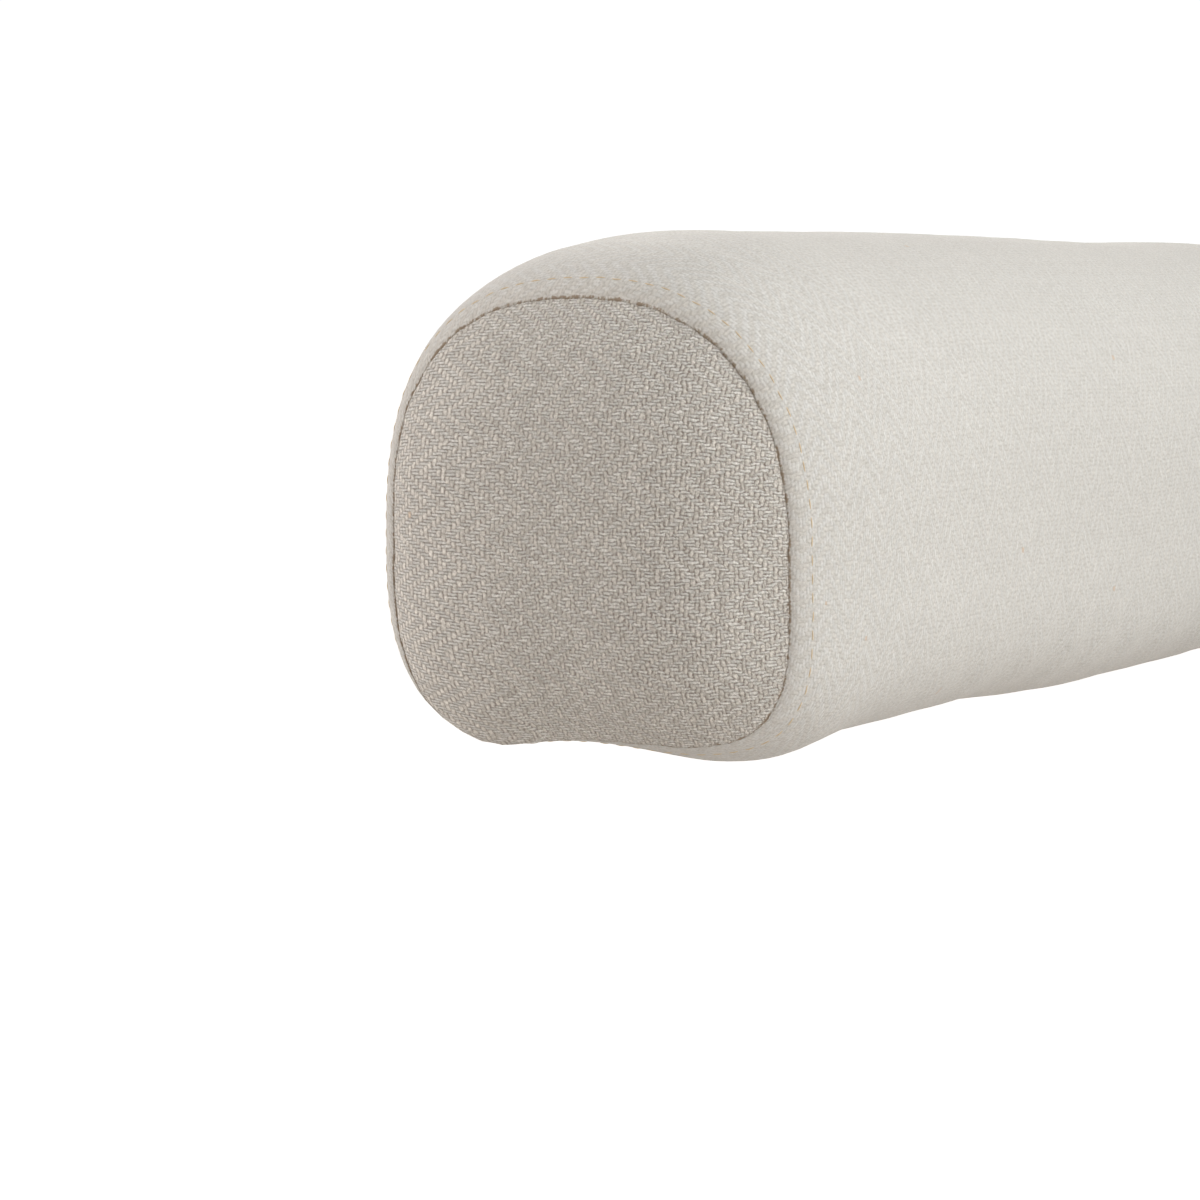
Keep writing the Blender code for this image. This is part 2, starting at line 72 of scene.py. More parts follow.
def distances(line):
    # from a line's first point to each of its points, along the line
    return np.concatenate([[0], np.cumsum(np.linalg.norm(np.diff(line, axis=0), axis=1))])


def unit(vectors):
    return vectors / np.linalg.norm(vectors, axis=1)[:, None]


def addObject(name, data):
    thing = bpy.data.objects.new(name, data)
    scene.collection.objects.link(thing)
    return thing


def meshPiece(name, points, faces, cornerUv=None, seam=None):
    mesh = bpy.data.meshes.new(name)
    mesh.from_pydata(np.asarray(points, float).tolist(), [], faces)
    if cornerUv is not None:
        layer = mesh.uv_layers.new(name="cloth")
        layer.data.foreach_set("uv", np.asarray(cornerUv, np.float32).ravel())
    if seam is not None:
        mark = mesh.attributes.new("seam", "FLOAT", "POINT")
        mark.data.foreach_set("value", np.asarray(seam, np.float32))
    bm = bmesh.new()
    bm.from_mesh(mesh)
    bmesh.ops.recalc_face_normals(bm, faces=bm.faces)
    bm.to_mesh(mesh)
    bm.free()
    mesh.polygons.foreach_set("use_smooth", [True] * len(mesh.polygons))
    return addObject(name, mesh)


def readAll(items, key, width):
    flat = np.empty(len(items) * width, np.float32)
    items.foreach_get(key, flat)
    return flat.reshape(-1, width).astype(float)


def pointsOf(mesh):
    return readAll(mesh.vertices, "co", 3)


def seamOf(mesh):
    return readAll(mesh.attributes["seam"].data, "value", 1)[:, 0]


def movePoints(mesh, points):
    mesh.vertices.foreach_set("co", np.asarray(points, np.float32).ravel())
    mesh.update()


def normalsOf(mesh):
    return readAll(mesh.vertex_normals, "vector", 3)


def pushOut(mesh, points, amount):
    # along the normals
    movePoints(mesh, points + normalsOf(mesh) * amount[:, None])


def roundOnce(piece):
    smooth = piece.modifiers.new("round", "SUBSURF")
    smooth.levels = 1
    smooth.render_levels = 1


def ringFaces(rings, around, closed=False):
    # quads of a loft, with the place of each corner in its grid
    corners = []
    for ring in range(rings if closed else rings - 1):
        for k in range(around):
            corners.append(((ring, k), (ring, k + 1), (ring + 1, k + 1), (ring + 1, k)))
    faces = [tuple(ring % rings * around + k % around for ring, k in quad) for quad in corners]
    return faces, corners


def endFaces(rings, around):
    # the two closing faces of a loft
    return [tuple(range(around)), tuple(range((rings - 1) * around, rings * around))]


def sheetFaces(rows, columns):
    # quads of a grid of points, and of a second one that lies under it
    faces = []
    for i in range(rows - 1):
        for j in range(columns - 1):
            here = i * columns + j
            quad = (here, here + columns, here + columns + 1, here + 1)
            faces += [quad, tuple(rows * columns + k for k in quad[::-1])]
    return faces


def sheetRim(rows, columns):
    # points round the edge of a grid
    rim = [(i, 0) for i in range(rows)] + [(rows - 1, j) for j in range(1, columns)]
    rim += [(i, columns - 1) for i in range(rows - 2, -1, -1)] + [(0, j) for j in range(columns - 2, 0, -1)]
    return [i * columns + j for i, j in rim]


def finishPiece(piece, material, replaced=()):
    piece.data.materials.append(material)
    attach(piece, "root")
    if replaced:
        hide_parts(*replaced)


# small helpers for nodes


def addNode(tree, kind, inputs=None, **settings):
    node = tree.nodes.new("ShaderNode" + kind)
    for key, value in settings.items():
        setattr(node, key, value)
    for key, value in (inputs or {}).items():
        if isinstance(value, bpy.types.NodeSocket):
            tree.links.new(value, node.inputs[key])
        else:
            node.inputs[key].default_value = value
    return node


def treeOf(values):
    return next(value.id_data for value in values if isinstance(value, bpy.types.NodeSocket))


def calc(operation, *values, clamp=False):
    inputs = dict(enumerate(values))
    return addNode(treeOf(values), "Math", inputs, operation=operation, use_clamp=clamp).outputs[0]


def times(first, second, clamp=False):
    return calc("MULTIPLY", first, second, clamp=clamp)


def timesPlus(value, factor, added, clamp=False):
    return calc("MULTIPLY_ADD", value, factor, added, clamp=clamp)


def mixColour(share, first, second, kind="MIX"):
    tree = treeOf((share, first, second))
    inputs = {0: share, 6: first, 7: second}
    return addNode(tree, "Mix", inputs, data_type="RGBA", blend_type=kind).outputs[2]


def mixValue(share, first, second):
    inputs = {0: share, 2: first, 3: second}
    return addNode(treeOf((share, first, second)), "Mix", inputs, data_type="FLOAT").outputs[0]


def easeTo(value, low, high):
    inputs = {"Value": value, "From Min": low, "From Max": high}
    node = addNode(value.id_data, "MapRange", inputs, interpolation_type="SMOOTHSTEP")
    return node.outputs[0]


def anyTone(label, value, dimensions):
    # a fixed chance value for each number or vector
    inputs = {label: value}
    return addNode(value.id_data, "TexWhiteNoise", inputs, noise_dimensions=dimensions).outputs[0]


def newGroup(name, inputs, outputs):
    # an input without a value is a vector
    tree = bpy.data.node_groups.new(name, "ShaderNodeTree")
    for label, value in inputs.items():
        kind = "NodeSocketVector" if value is None else "NodeSocketFloat"
        socket = tree.interface.new_socket(label, in_out="INPUT", socket_type=kind)
        if value is not None:
            socket.default_value = value
    for label in outputs:
        tree.interface.new_socket(label, in_out="OUTPUT", socket_type="NodeSocketFloat")
    return tree, tree.nodes.new("NodeGroupInput").outputs, tree.nodes.new("NodeGroupOutput").inputs


def placeGroup(group, inputs):
    return addNode(treeOf(inputs.values()), "Group", inputs, node_tree=group).outputs


def newMaterial(name, shaderValues):
    material = bpy.data.materials.new(name)
    material.use_nodes = True
    tree = material.node_tree
    tree.nodes.clear()
    shader = addNode(tree, "BsdfPrincipled", shaderValues)
    addNode(tree, "OutputMaterial", {"Surface": shader.outputs[0]})
    return material, tree, shader


def objectPlace(tree):
    return addNode(tree, "TexCoord").outputs["Object"]


def connect(shader, colour, rough, height, depth, strength=1.0):
    tree = shader.id_data
    relief = addNode(tree, "Bump", {"Height": height, "Strength": strength, "Distance": depth})
    for label, socket in (("Base Color", colour), ("Roughness", rough), ("Normal", relief.outputs[0])):
        tree.links.new(socket, shader.inputs[label])


# camera and studio

photoView = {
    "lens": 114.39,  # mm
    "sensor": 36.0,  # mm
    "turn": 28.21,  # degrees round towards the sitter's side of the arm
    "pitch": 4.53,  # degrees down
    "place": (-0.1334, -1.2294, 0.7009),
}


def setCamera():
    lens = bpy.data.cameras.new("armCamera")
    lens.lens = photoView["lens"]
    lens.sensor_width = photoView["sensor"]
    camera = addObject("armCamera", lens)
    camera.location = photoView["place"]
    camera.rotation_euler = (math.radians(90 - photoView["pitch"]), 0, math.radians(photoView["turn"]))
    scene.camera = camera


studio = {
    "paper": 1.05,  # white behind the part
    "ambient": (1.0, 0.942, 0.888),
    "ambientPower": 0.585,
    "frontShade": 0.94,  # how much darker the room is in front of the arms
    "sideGlow": 0.35,  # how much brighter to both sides
    "bounce": (0.625, 0.60, 0.573),  # floor as the cloth sees it
    "floorTone": (0.93, 0.925, 0.915),
    "floorMottle": 0.985,
    "floorGlow": 0.62,
    "floorSize": 45.0,
    "lamps": {
        # name: place, aim, size, watts, colour
        "sideKey": ((3.3, 0.25, 1.35), (-0.5, 0.0, 0.6), 3.0, 13.0, (0.86, 0.965, 1.0)),
        "rightFill": ((2.1, -2.0, 1.1), (-0.55, -0.36, 0.62), 1.6, 37.0, (0.973, 0.975, 0.957)),
        "leftFill": ((-3.2, -0.9, 1.2), (-0.6, -0.36, 0.62), 1.0, 39.0, (1.0, 0.98, 0.97)),
        "topFill": ((-0.4, -0.8, 3.2), (-0.2, 0.0, 0.4), 2.6, 8.5, (0.92, 0.98, 1.0)),
        "seatFill": ((0.5, 0.15, 1.5), (-0.5, 0.2, 0.55), 1.0, 6.5, (0.90, 0.98, 1.0)),
        "backFill": ((-2.4, 3.0, 1.9), (-0.2, 0.2, 0.5), 2.2, 22.0, (1.0, 0.985, 0.96)),
    },
}


def setStudio():
    world = bpy.data.worlds.new("whiteStudio")
    scene.world = world
    world.use_nodes = True
    tree = world.node_tree
    tree.nodes.clear()
    way = addNode(tree, "TexCoord").outputs["Generated"]
    way = addNode(tree, "SeparateXYZ", {0: way}).outputs
    front = calc("MAXIMUM", times(way[1], -1.0), 0.0)
    share = timesPlus(front, -studio["frontShade"], 1.0)
    share = timesPlus(calc("ABSOLUTE", way[0]), studio["sideGlow"], share)
    power = times(share, studio["ambientPower"])
    # the cloth is lit by the room, and the lens sees white
    room = addNode(tree, "Background", {"Color": (*studio["ambient"], 1), "Strength": power})
    paper = addNode(tree, "Background", {"Color": (1, 1, 1, 1), "Strength": studio["paper"]})
    path = addNode(tree, "LightPath").outputs["Is Camera Ray"]
    pick = addNode(tree, "MixShader", {0: path, 1: room.outputs[0], 2: paper.outputs[0]})
    addNode(tree, "OutputWorld", {"Surface": pick.outputs[0]})
    for name, (place, aim, size, watts, colour) in studio["lamps"].items():
        lamp = bpy.data.lights.new(name, "AREA")
        lamp.shape = "DISK"
        lamp.size = size
        lamp.energy = watts
        lamp.color = colour
        holder = addObject(name, lamp)
        holder.location = place
        holder.rotation_euler = (Vector(aim) - Vector(place)).to_track_quat("-Z", "Y").to_euler()
        holder.visible_camera = False
    scene.view_settings.view_transform = "Standard"
    scene.view_settings.look = "None"


# shared effects as node groups

herringbone = {
    "pitches": {"Warp Pitch": 0.00125, "Weft Pitch": 0.0009, "Band Rows": 9.0},
    "stray": (2.1, 2.0),  # how many yarns the warp and the weft wander
    "strayScale": 150.0,
    "strayRoughness": 0.82,
    "warpArch": (0.65, 0.30),  # rise over a float, and what is left at its ends
    "weftArch": (0.55, 0.45),
    "fullness": 0.6,
    "fuzzScale": 1400.0,
    "floatTone": 0.75,  # share of a float's own tone, the rest is its yarn's
    "fleckFrom": 0.9996,
}


def buildWeave():
    # two-up two-down twill whose slope turns back every few weft rows
    tree, given, made = newGroup(
        "herringboneWeave",
        {"Place": None, **herringbone["pitches"], "Wander": 1.0},
        ("Height", "Yarn Tone", "Warp Up", "Fleck", "Fibre"),
    )
    place = given["Place"]
    inputs = {"Vector": place, "Scale": herringbone["strayScale"], "Detail": 4.0}
    inputs["Roughness"] = herringbone["strayRoughness"]
    drift = addNode(tree, "TexNoise", inputs, noise_dimensions="2D").outputs["Color"]
    drift = addNode(tree, "SeparateColor", {0: drift}).outputs
    split = addNode(tree, "SeparateXYZ", {0: place}).outputs
    across, along = [
        timesPlus(drift[k], times(given["Wander"], stray), calc("DIVIDE", split[k], given[pitch]))
        for k, (pitch, stray) in enumerate(zip(("Warp Pitch", "Weft Pitch"), herringbone["stray"]))
    ]
    warpIndex = calc("FLOOR", across)
    warpShare = calc("FRACT", across)
    weftIndex = calc("FLOOR", along)
    folded = calc("PINGPONG", along, given["Band Rows"])
    weftShare = calc("FRACT", folded)
    slope = calc("ADD", warpIndex, calc("FLOOR", folded))
    phase = calc("FLOORED_MODULO", slope, 4.0)
    warpUp = calc("LESS_THAN", phase, 1.5)

    def archOf(ownShare, otherShare, arch):
        # a yarn arches over its float, and sinks at both ends
        over = times(calc("ADD", phase, otherShare), math.pi / 2)
        over = calc("ABSOLUTE", calc("SINE", over))
        return times(calc("SINE", times(ownShare, math.pi)), timesPlus(over, *arch))

    warpHigh = archOf(warpShare, weftShare, herringbone["warpArch"])
    weftHigh = archOf(weftShare, warpShare, herringbone["weftArch"])
    high = calc("MAXIMUM", mixValue(warpUp, weftHigh, warpHigh), 0.0)
    high = calc("POWER", high, herringbone["fullness"])
    inputs = {"Vector": place, "Scale": herringbone["fuzzScale"], "Detail": 3.0}
    fuzz = addNode(tree, "TexNoise", inputs, noise_dimensions="2D").outputs[0]
    yarnTone = mixValue(warpUp, anyTone("W", weftIndex, "1D"), anyTone("W", warpIndex, "1D"))
    # every float has a tone of its own
    yarnIndex = mixValue(warpUp, weftIndex, warpIndex)
    floatIndex = calc("FLOOR", calc("DIVIDE", slope, 4.0))
    band = timesPlus(warpUp, 0.5, calc("FLOOR", calc("DIVIDE", along, given["Band Rows"])))
    cell = addNode(tree, "CombineXYZ", {0: yarnIndex, 1: floatIndex, 2: band}).outputs[0]
    cellTone = anyTone("Vector", cell, "3D")
    share = herringbone["floatTone"]
    results = {
        "Height": high,
        "Yarn Tone": timesPlus(yarnTone, 1 - share, times(cellTone, share)),
        "Warp Up": warpUp,
        "Fleck": calc("GREATER_THAN", cellTone, herringbone["fleckFrom"]),
        "Fibre": fuzz,
    }
    for label, socket in results.items():
        tree.links.new(socket, made[label])
    return tree


def buildMottle():
    # slow change of tone over a surface, from about 0 to 1
    tree, given, made = newGroup("slowMottle", {"Place": None, "Lump Size": 0.08}, ("Tone",))
    scale = calc("DIVIDE", 1.0, given["Lump Size"])
    cloud = addNode(tree, "TexNoise", {"Vector": given["Place"], "Scale": scale, "Detail": 3.0})
    tree.links.new(cloud.outputs[0], made["Tone"])
    return tree


def mottleTone(place, size):
    return placeGroup(mottleGroup, {"Place": place, "Lump Size": size})["Tone"]


# finishes

creamCloth = {
    "gloss": {
        "Specular IOR Level": 0.22, "Sheen Weight": 0.22, "Sheen Roughness": 0.45,
        "Sheen Tint": (1, 0.97, 0.93, 1),
    },
    "warp": (0.700, 0.660, 0.612),  # beige
    "weft": (0.752, 0.728, 0.697),  # cooler and lighter
    # painted shade between the yarns: its colour, and how quickly it fades with height
    "gap": (0.300, 0.250, 0.210, 1),
    "gapShadePower": 1.6,
    "fleck": (0.62, 0.42, 0.26, 1),
    "fleckShare": 0.55,
    # painted shade in the seams
    "seamPaintedShade": (0.37, 0.293, 0.222, 1),
    "seamRagged": (0.9, 1.9, -0.03, 3.0),  # by fibres, by mottle, from where, and how sharp
    "lumps": (0.07, 0.0045, 0.0017),  # sizes of the slow, the tight and the ragged mottle
    "spreads": (0.24, 0.07, 0.2),  # of tone, by yarn, slow and tight mottle
    "fuzz": 0.8,  # height of loose fibres, against the yarn's
    "rough": (0.86, -0.16, 0.1),  # of the weft, more on the warp, and by fibres
    "flank": (0.618, 0.650),  # where the outer flank of an arm starts and is full, for its straighter yarns and its painted light
    "front": (-0.352, -0.3685),  # and where the painted light at its front starts and is full
}
# the panel and the rest are one cloth in two copies: the panel is painted paler, with more painted shade
# between its yarns and painted light on its flank, the rest darker and cooler, with less painted shade and a
# paler painted front near its seam; these stand in for how differently the two are lit, and the rest also
# has less grain and relief
panelFinish = {
    "tone": (0.99, 0.99, 0.985), "contrast": 0.9, "grain": 1.0, "fibre": 0.8, "gapShadeShare": 1.1,
    "bump": 0.00028, "straighter": 0.6, "paintedBeadLight": 0.085, "frontPaintedLight": (1, 1, 1, 1),
}
bodyFinish = {
    "tone": (0.905, 0.922, 0.938), "contrast": 0.60, "grain": 0.42, "fibre": 0.42, "gapShadeShare": 0.36,
    "bump": 0.00008, "straighter": 0.0, "paintedBeadLight": 0.0, "frontPaintedLight": (1.13, 1.10, 1.055, 1),
}


def yarnColours(finish):
    middle = (np.array(creamCloth["warp"]) + np.array(creamCloth["weft"])) / 2
    colours = []
    for yarn in ("weft", "warp"):
        colour = middle + (np.array(creamCloth[yarn]) - middle) * finish["contrast"]
        colours.append((*(colour * np.array(finish["tone"])).tolist(), 1))
    return colours


def makeCreamCloth(name, finish):
    material, tree, shader = newMaterial(name, creamCloth["gloss"])
    place = objectPlace(tree)
    spot = addNode(tree, "SeparateXYZ", {0: place}).outputs
    # at the outer flank of an arm the yarns lie straighter, and painted light makes the warp floats paler
    # and the weft darker there, as raking light would show them in rows
    flank = easeTo(calc("ABSOLUTE", spot[0]), *creamCloth["flank"])
    wander = timesPlus(flank, -finish["straighter"], 1.0)
    onCloth = addNode(tree, "UVMap", uv_map="cloth").outputs[0]
    weave = placeGroup(weaveGroup, {"Place": onCloth, "Wander": wander})
    paintedBeadLight = timesPlus(weave["Warp Up"], 2 * finish["paintedBeadLight"], -finish["paintedBeadLight"])
    tone = timesPlus(paintedBeadLight, flank, 1.0)
    slow, tight, ragged = [mottleTone(place, size) for size in creamCloth["lumps"]]
    yarnSpread, slowSpread, tightSpread = creamCloth["spreads"]
    for value, spread in (
        (weave["Yarn Tone"], yarnSpread * finish["grain"]),
        (slow, slowSpread),
        (tight, tightSpread * finish["grain"]),
        (weave["Fibre"], finish["fibre"]),
    ):
        tone = times(tone, timesPlus(value, spread, 1 - spread / 2))
    grey = addNode(tree, "CombineColor", {0: tone, 1: tone, 2: tone}).outputs[0]
    yarn = mixColour(1.0, mixColour(weave["Warp Up"], *yarnColours(finish)), grey, "MULTIPLY")
    # painted light: near the front seam of an arm the cloth is made paler and warmer, to lift the shade
    # there
    yarn = mixColour(easeTo(spot[1], *creamCloth["front"]), yarn, finish["frontPaintedLight"], "MULTIPLY")
    yarn = mixColour(times(weave["Fleck"], creamCloth["fleckShare"]), yarn, creamCloth["fleck"])
    fuzz = calc("SUBTRACT", weave["Fibre"], 0.5)
    relief = timesPlus(fuzz, creamCloth["fuzz"], weave["Height"])
    # painted shade: darker between the yarns where the relief is low
    between = calc("POWER", calc("SUBTRACT", 1.0, relief, clamp=True), creamCloth["gapShadePower"])
    between = times(between, finish["gapShadeShare"], clamp=True)
    cloth = mixColour(between, yarn, creamCloth["gap"])
    # painted shade: a seam is made a dark line, as the shade in its groove, uneven where the yarns meet it
    byFibre, byMottle, start, sharp = creamCloth["seamRagged"]
    edge = timesPlus(fuzz, byFibre, timesPlus(ragged, byMottle, start))
    seam = addNode(tree, "Attribute", attribute_name="seam").outputs["Fac"]
    seam = timesPlus(calc("SUBTRACT", seam, edge), sharp, 0.5, clamp=True)
    cloth = mixColour(seam, cloth, creamCloth["seamPaintedShade"])
    weftRough, warpMore, fibreMore = creamCloth["rough"]
    rough = timesPlus(weave["Fibre"], fibreMore, timesPlus(weave["Warp Up"], warpMore, weftRough))
    connect(shader, cloth, rough, relief, finish["bump"])
    return material


plainLook = {"lump": 0.05, "gloss": 0.18, "relief": 0.8}


def makePlain(name, colour, spread, rough, grain, bump, values=None):
    # a plain finish with mottled tone, uneven gloss and a fine grain, sizes in metres
    material, tree, shader = newMaterial(name, values or {})
    place = objectPlace(tree)
    fine = mottleTone(place, grain)
    both = times(calc("ADD", mottleTone(place, plainLook["lump"]), fine), 0.5)
    low = (*[c * (1 - spread) for c in colour], 1)
    high = (*[min(1, c * (1 + spread)) for c in colour], 1)
    gloss = timesPlus(fine, plainLook["gloss"], rough - plainLook["gloss"] / 2)
    connect(shader, mixColour(both, low, high), gloss, fine, bump, plainLook["relief"])
    return material


paleTimber = {
    "early": (0.66, 0.50, 0.32, 1),
    "late": (0.47, 0.31, 0.17, 1),
    "stretch": (5.0, 9.0, 60.0),
    "rings": 7.0,
    "lump": 0.08,  # in the stretched measure
    "rough": (0.2, 0.55),
    "bump": 0.0002,
    "relief": 0.6,
}


def makeTimber():
    material, tree, shader = newMaterial("paleTimber", {"Specular IOR Level": 0.3})
    inputs = {"Vector": objectPlace(tree), "Scale": paleTimber["stretch"]}
    place = addNode(tree, "Mapping", inputs).outputs[0]
    rings = addNode(tree, "TexNoise", {"Vector": place, "Scale": 1.0, "Detail": 4.0}).outputs[0]
    fine = mottleTone(place, paleTimber["lump"])
    share = times(calc("FRACT", times(rings, paleTimber["rings"])), fine)
    colour = mixColour(share, paleTimber["early"], paleTimber["late"])
    rough = timesPlus(fine, *paleTimber["rough"])
    connect(shader, colour, rough, share, paleTimber["bump"], paleTimber["relief"])
    return material


elasticBand = {
    "pitches": {"Warp Pitch": 0.0024, "Weft Pitch": 0.0018, "Band Rows": 40.0},
    "weft": (0.10, 0.095, 0.09, 1),
    "warp": (0.22, 0.205, 0.19, 1),
    "gap": (0.03, 0.03, 0.03, 1),
    "rough": (0.2, 0.7),
    "bump": 0.0004,
}


def makeWebbing():
    material, tree, shader = newMaterial("elasticWebbing", {"Specular IOR Level": 0.2})
    weave = placeGroup(weaveGroup, {"Place": objectPlace(tree), **elasticBand["pitches"]})
    yarn = mixColour(weave["Warp Up"], elasticBand["weft"], elasticBand["warp"])
    # painted shade: darker between the yarns where the weave is low
    colour = mixColour(weave["Height"], elasticBand["gap"], yarn)
    rough = timesPlus(weave["Fibre"], *elasticBand["rough"])
    connect(shader, colour, rough, weave["Height"], elasticBand["bump"])
    return material


def makeFloor():
    values = {"Roughness": 0.75, "Specular IOR Level": 0.1, "Emission Color": (1, 1, 1, 1)}
    values["Emission Strength"] = studio["floorGlow"]
    material, tree, shader = newMaterial("whiteFloor", values)
    tone = studio["floorTone"]
    low = [c * studio["floorMottle"] for c in tone]
    colour = mixColour(mottleTone(objectPlace(tree), 1.4), (*low, 1), (*tone, 1))
    tree.links.new(colour, shader.inputs["Base Color"])
    dim = addNode(tree, "BsdfDiffuse", {"Color": (*studio["bounce"], 1)})
    path = addNode(tree, "LightPath").outputs["Is Camera Ray"]
    pick = addNode(tree, "MixShader", {0: path, 1: dim.outputs[0], 2: shader.outputs[0]})
    tree.links.new(pick.outputs[0], tree.nodes["Material Output"].inputs["Surface"])
    half = studio["floorSize"]
    corners = [(-half, -half, 0), (half, -half, 0), (half, half, 0), (-half, half, 0)]
    floor = meshPiece("floor", corners, [(0, 1, 2, 3)])
    floor.data.materials.append(material)


setCamera()
setStudio()
weaveGroup = buildWeave()
mottleGroup = buildMottle()
# two copies of one cloth, which differ in painted light and shade as well as in grain and relief
creamFabric = makeCreamCloth("creamHerringbone", bodyFinish)
panelFabric = makeCreamCloth("creamHerringbonePanel", panelFinish)
# name, colour, spread of tone, roughness, grain size, relief
tanThread = makePlain("tanThread", (0.70, 0.56, 0.37), 0.15, 0.7, 0.0006, 0.0001)
blackCoat = makePlain("blackPowderCoat", (0.021, 0.021, 0.023), 0.3, 0.46, 0.0011, 0.00012)
bareSteel = makePlain("bareSteel", (0.45, 0.45, 0.46), 0.1, 0.38, 0.002, 0.00005, {"Metallic": 1.0})
blackPlastic = makePlain("mouldedPlastic", (0.032, 0.032, 0.033), 0.25, 0.55, 0.0008, 0.00008)
deckFelt = makePlain("deckFelt", (0.55, 0.53, 0.49), 0.16, 0.9, 0.0012, 0.0005, {"Sheen Weight": 0.3})
dustCloth = makePlain("dustCloth", (0.035, 0.035, 0.036), 0.3, 0.85, 0.0014, 0.0003, {"Sheen Weight": 0.15})
timber = makeTimber()
webbing = makeWebbing()
makeFloor()
print("camera, studio and finishes made")


# the padded roll: both arms and the back in one

roll = {
    "lineX": 0.6055,  # middle line of an arm
    "seamY": -0.358,  # front seam
    "backY": 0.3055,  # middle line of the back
    "waistZ": 0.637,  # widest level
    "bend": 0.19,
    "armRun": 0.4735,
    "bendRun": 0.19 * math.pi / 2,
    "wholeRun": 2.3749,
    "girth": 0.44,
    "changes": (0.2, 0.42),  # where armFront turns into armBack
    "points": 124,  # round the section
    "besideUnder": (0.0011, 0.0024, 0.0042),  # more points, from the seam under the roll
    "step": 0.006,  # along the roll
    "leastStep": 0.00025,
    "shoulderRings": 48,
    "seamOff": 0.004,  # from the end of a bend to the seam across the roll
    "besideSeam": (-0.0042, -0.0022, -0.001, 0, 0.001, 0.0022, 0.0042),  # rings at such a seam
    "turnIn": ((0.0030, 0.0016), (0.0018, 0.0014), (0.0008, 0.0009), (0.0002, 0.0003)),  # inset, depth
    "measured": 0.3,  # up to here the cloth is measured over the shoulder
    "frontShadeMark": 0.00012,  # widths of the painted dark shade lines in the seams
    "seamShadeMark": 0.0009,
}
# section at the front of an arm as the photo shows it, and further back
armFront = {
    "inner": 0.0726, "outer": 0.0726, "rise": 0.0826, "drop": 0.0559,
    "powers": (2.4, 2.36, 3.9, 2.6),  # top inner, top outer, low inner, low outer
    "tilt": -0.002,
}
armBack = {
    "inner": 0.0745, "outer": 0.0745, "rise": 0.083, "drop": 0.055,
    "powers": (2.4, 2.4, 4.1, 4.1),
    "tilt": 0.0,
}
# how the section shrinks to the seam
shoulder = {
    "length": 0.0674, "power": 1.97,
    "inner": 0.0140, "outer": 0.0150, "rise": 0.0189, "drop": 0.0030,
    "powers": (2.3, 2.55, 4.4, 3.5),
    "lean": (0.011, -0.029),  # the seam's plane, across and up
    "arch": 0.0019,
    "archAt": -0.007,
    "archWide": (0.014, 0.038),  # outwards, and towards the sitter
    "foot": 0.0026,
    "footAt": -0.029,
    "footWide": 0.020,
    "wobble": 0.00025,  # of the hand-guided seam
}
lowerEdge = {
    "behind": (0, 0.02, 0.05, 0.14, 0.22, 0.38), "drop": (0, 0.0018, -0.001, -0.0014, 0.0011, 0),
    "tall": 0.05,
    "sitter": (-0.012, 0.03),  # from the outer half to the sitter's
    "outerShare": 0.25,
}
upperEdge = {"behind": (0.06, 0.2, 0.27, 0.34), "rise": (-0.0003, 0.0012, 0.0011, -0.0003), "inside": 0.2}
pouch = {"drop": 0.0016, "behind": 0.020, "reach": 0.015, "at": 0.04, "wide": 0.03}
drawUp = {"lift": 0.0022, "behind": 0.012, "reach": 0.03}
legHeads = [(-0.53763, 0.261048), (0.53763, 0.261048), (-0.23, 0.3055), (0.23, 0.3055)]
mirror = np.array([-1.0, 1.0, 1.0])  # the left half to the right
fineTurn = np.linspace(-math.pi / 2, 1.5 * math.pi, 1441)
crossSeams = (roll["armRun"] - roll["seamOff"], roll["armRun"] + roll["bendRun"] + roll["seamOff"])


def lineAt(run):
    # middle line of the left half, from the front seam to the middle of the back
    if run <= roll["armRun"]:
        return -roll["lineX"], roll["seamY"] + run, math.pi / 2
    turned = min((run - roll["armRun"]) / roll["bend"], math.pi / 2)
    x = -roll["lineX"] + roll["bend"] * (1 - math.cos(turned))
    y = roll["backY"] - roll["bend"] * (1 - math.sin(turned))
    return x + max(0.0, run - roll["armRun"] - roll["bendRun"]), y, math.pi / 2 - turned


def ringShares():
    # even round the section, closer beside the seam under the roll
    even = np.linspace(0, 1, roll["points"] + 1)[:-1]
    near = np.array(roll["besideUnder"]) / roll["girth"]
    return np.unique(np.round(np.concatenate([even, near, 1 - near]), 6))


shares = ringShares()
seamWander = np.array([noise.noise(Vector((share * 97, 4.2, 0.7))) for share in shares]) * 2


def insideAt(behind):
    left = 1 - min(behind / shoulder["length"], 1.0)
    return 1 - (1 - left ** shoulder["power"]) ** (1 / shoulder["power"])


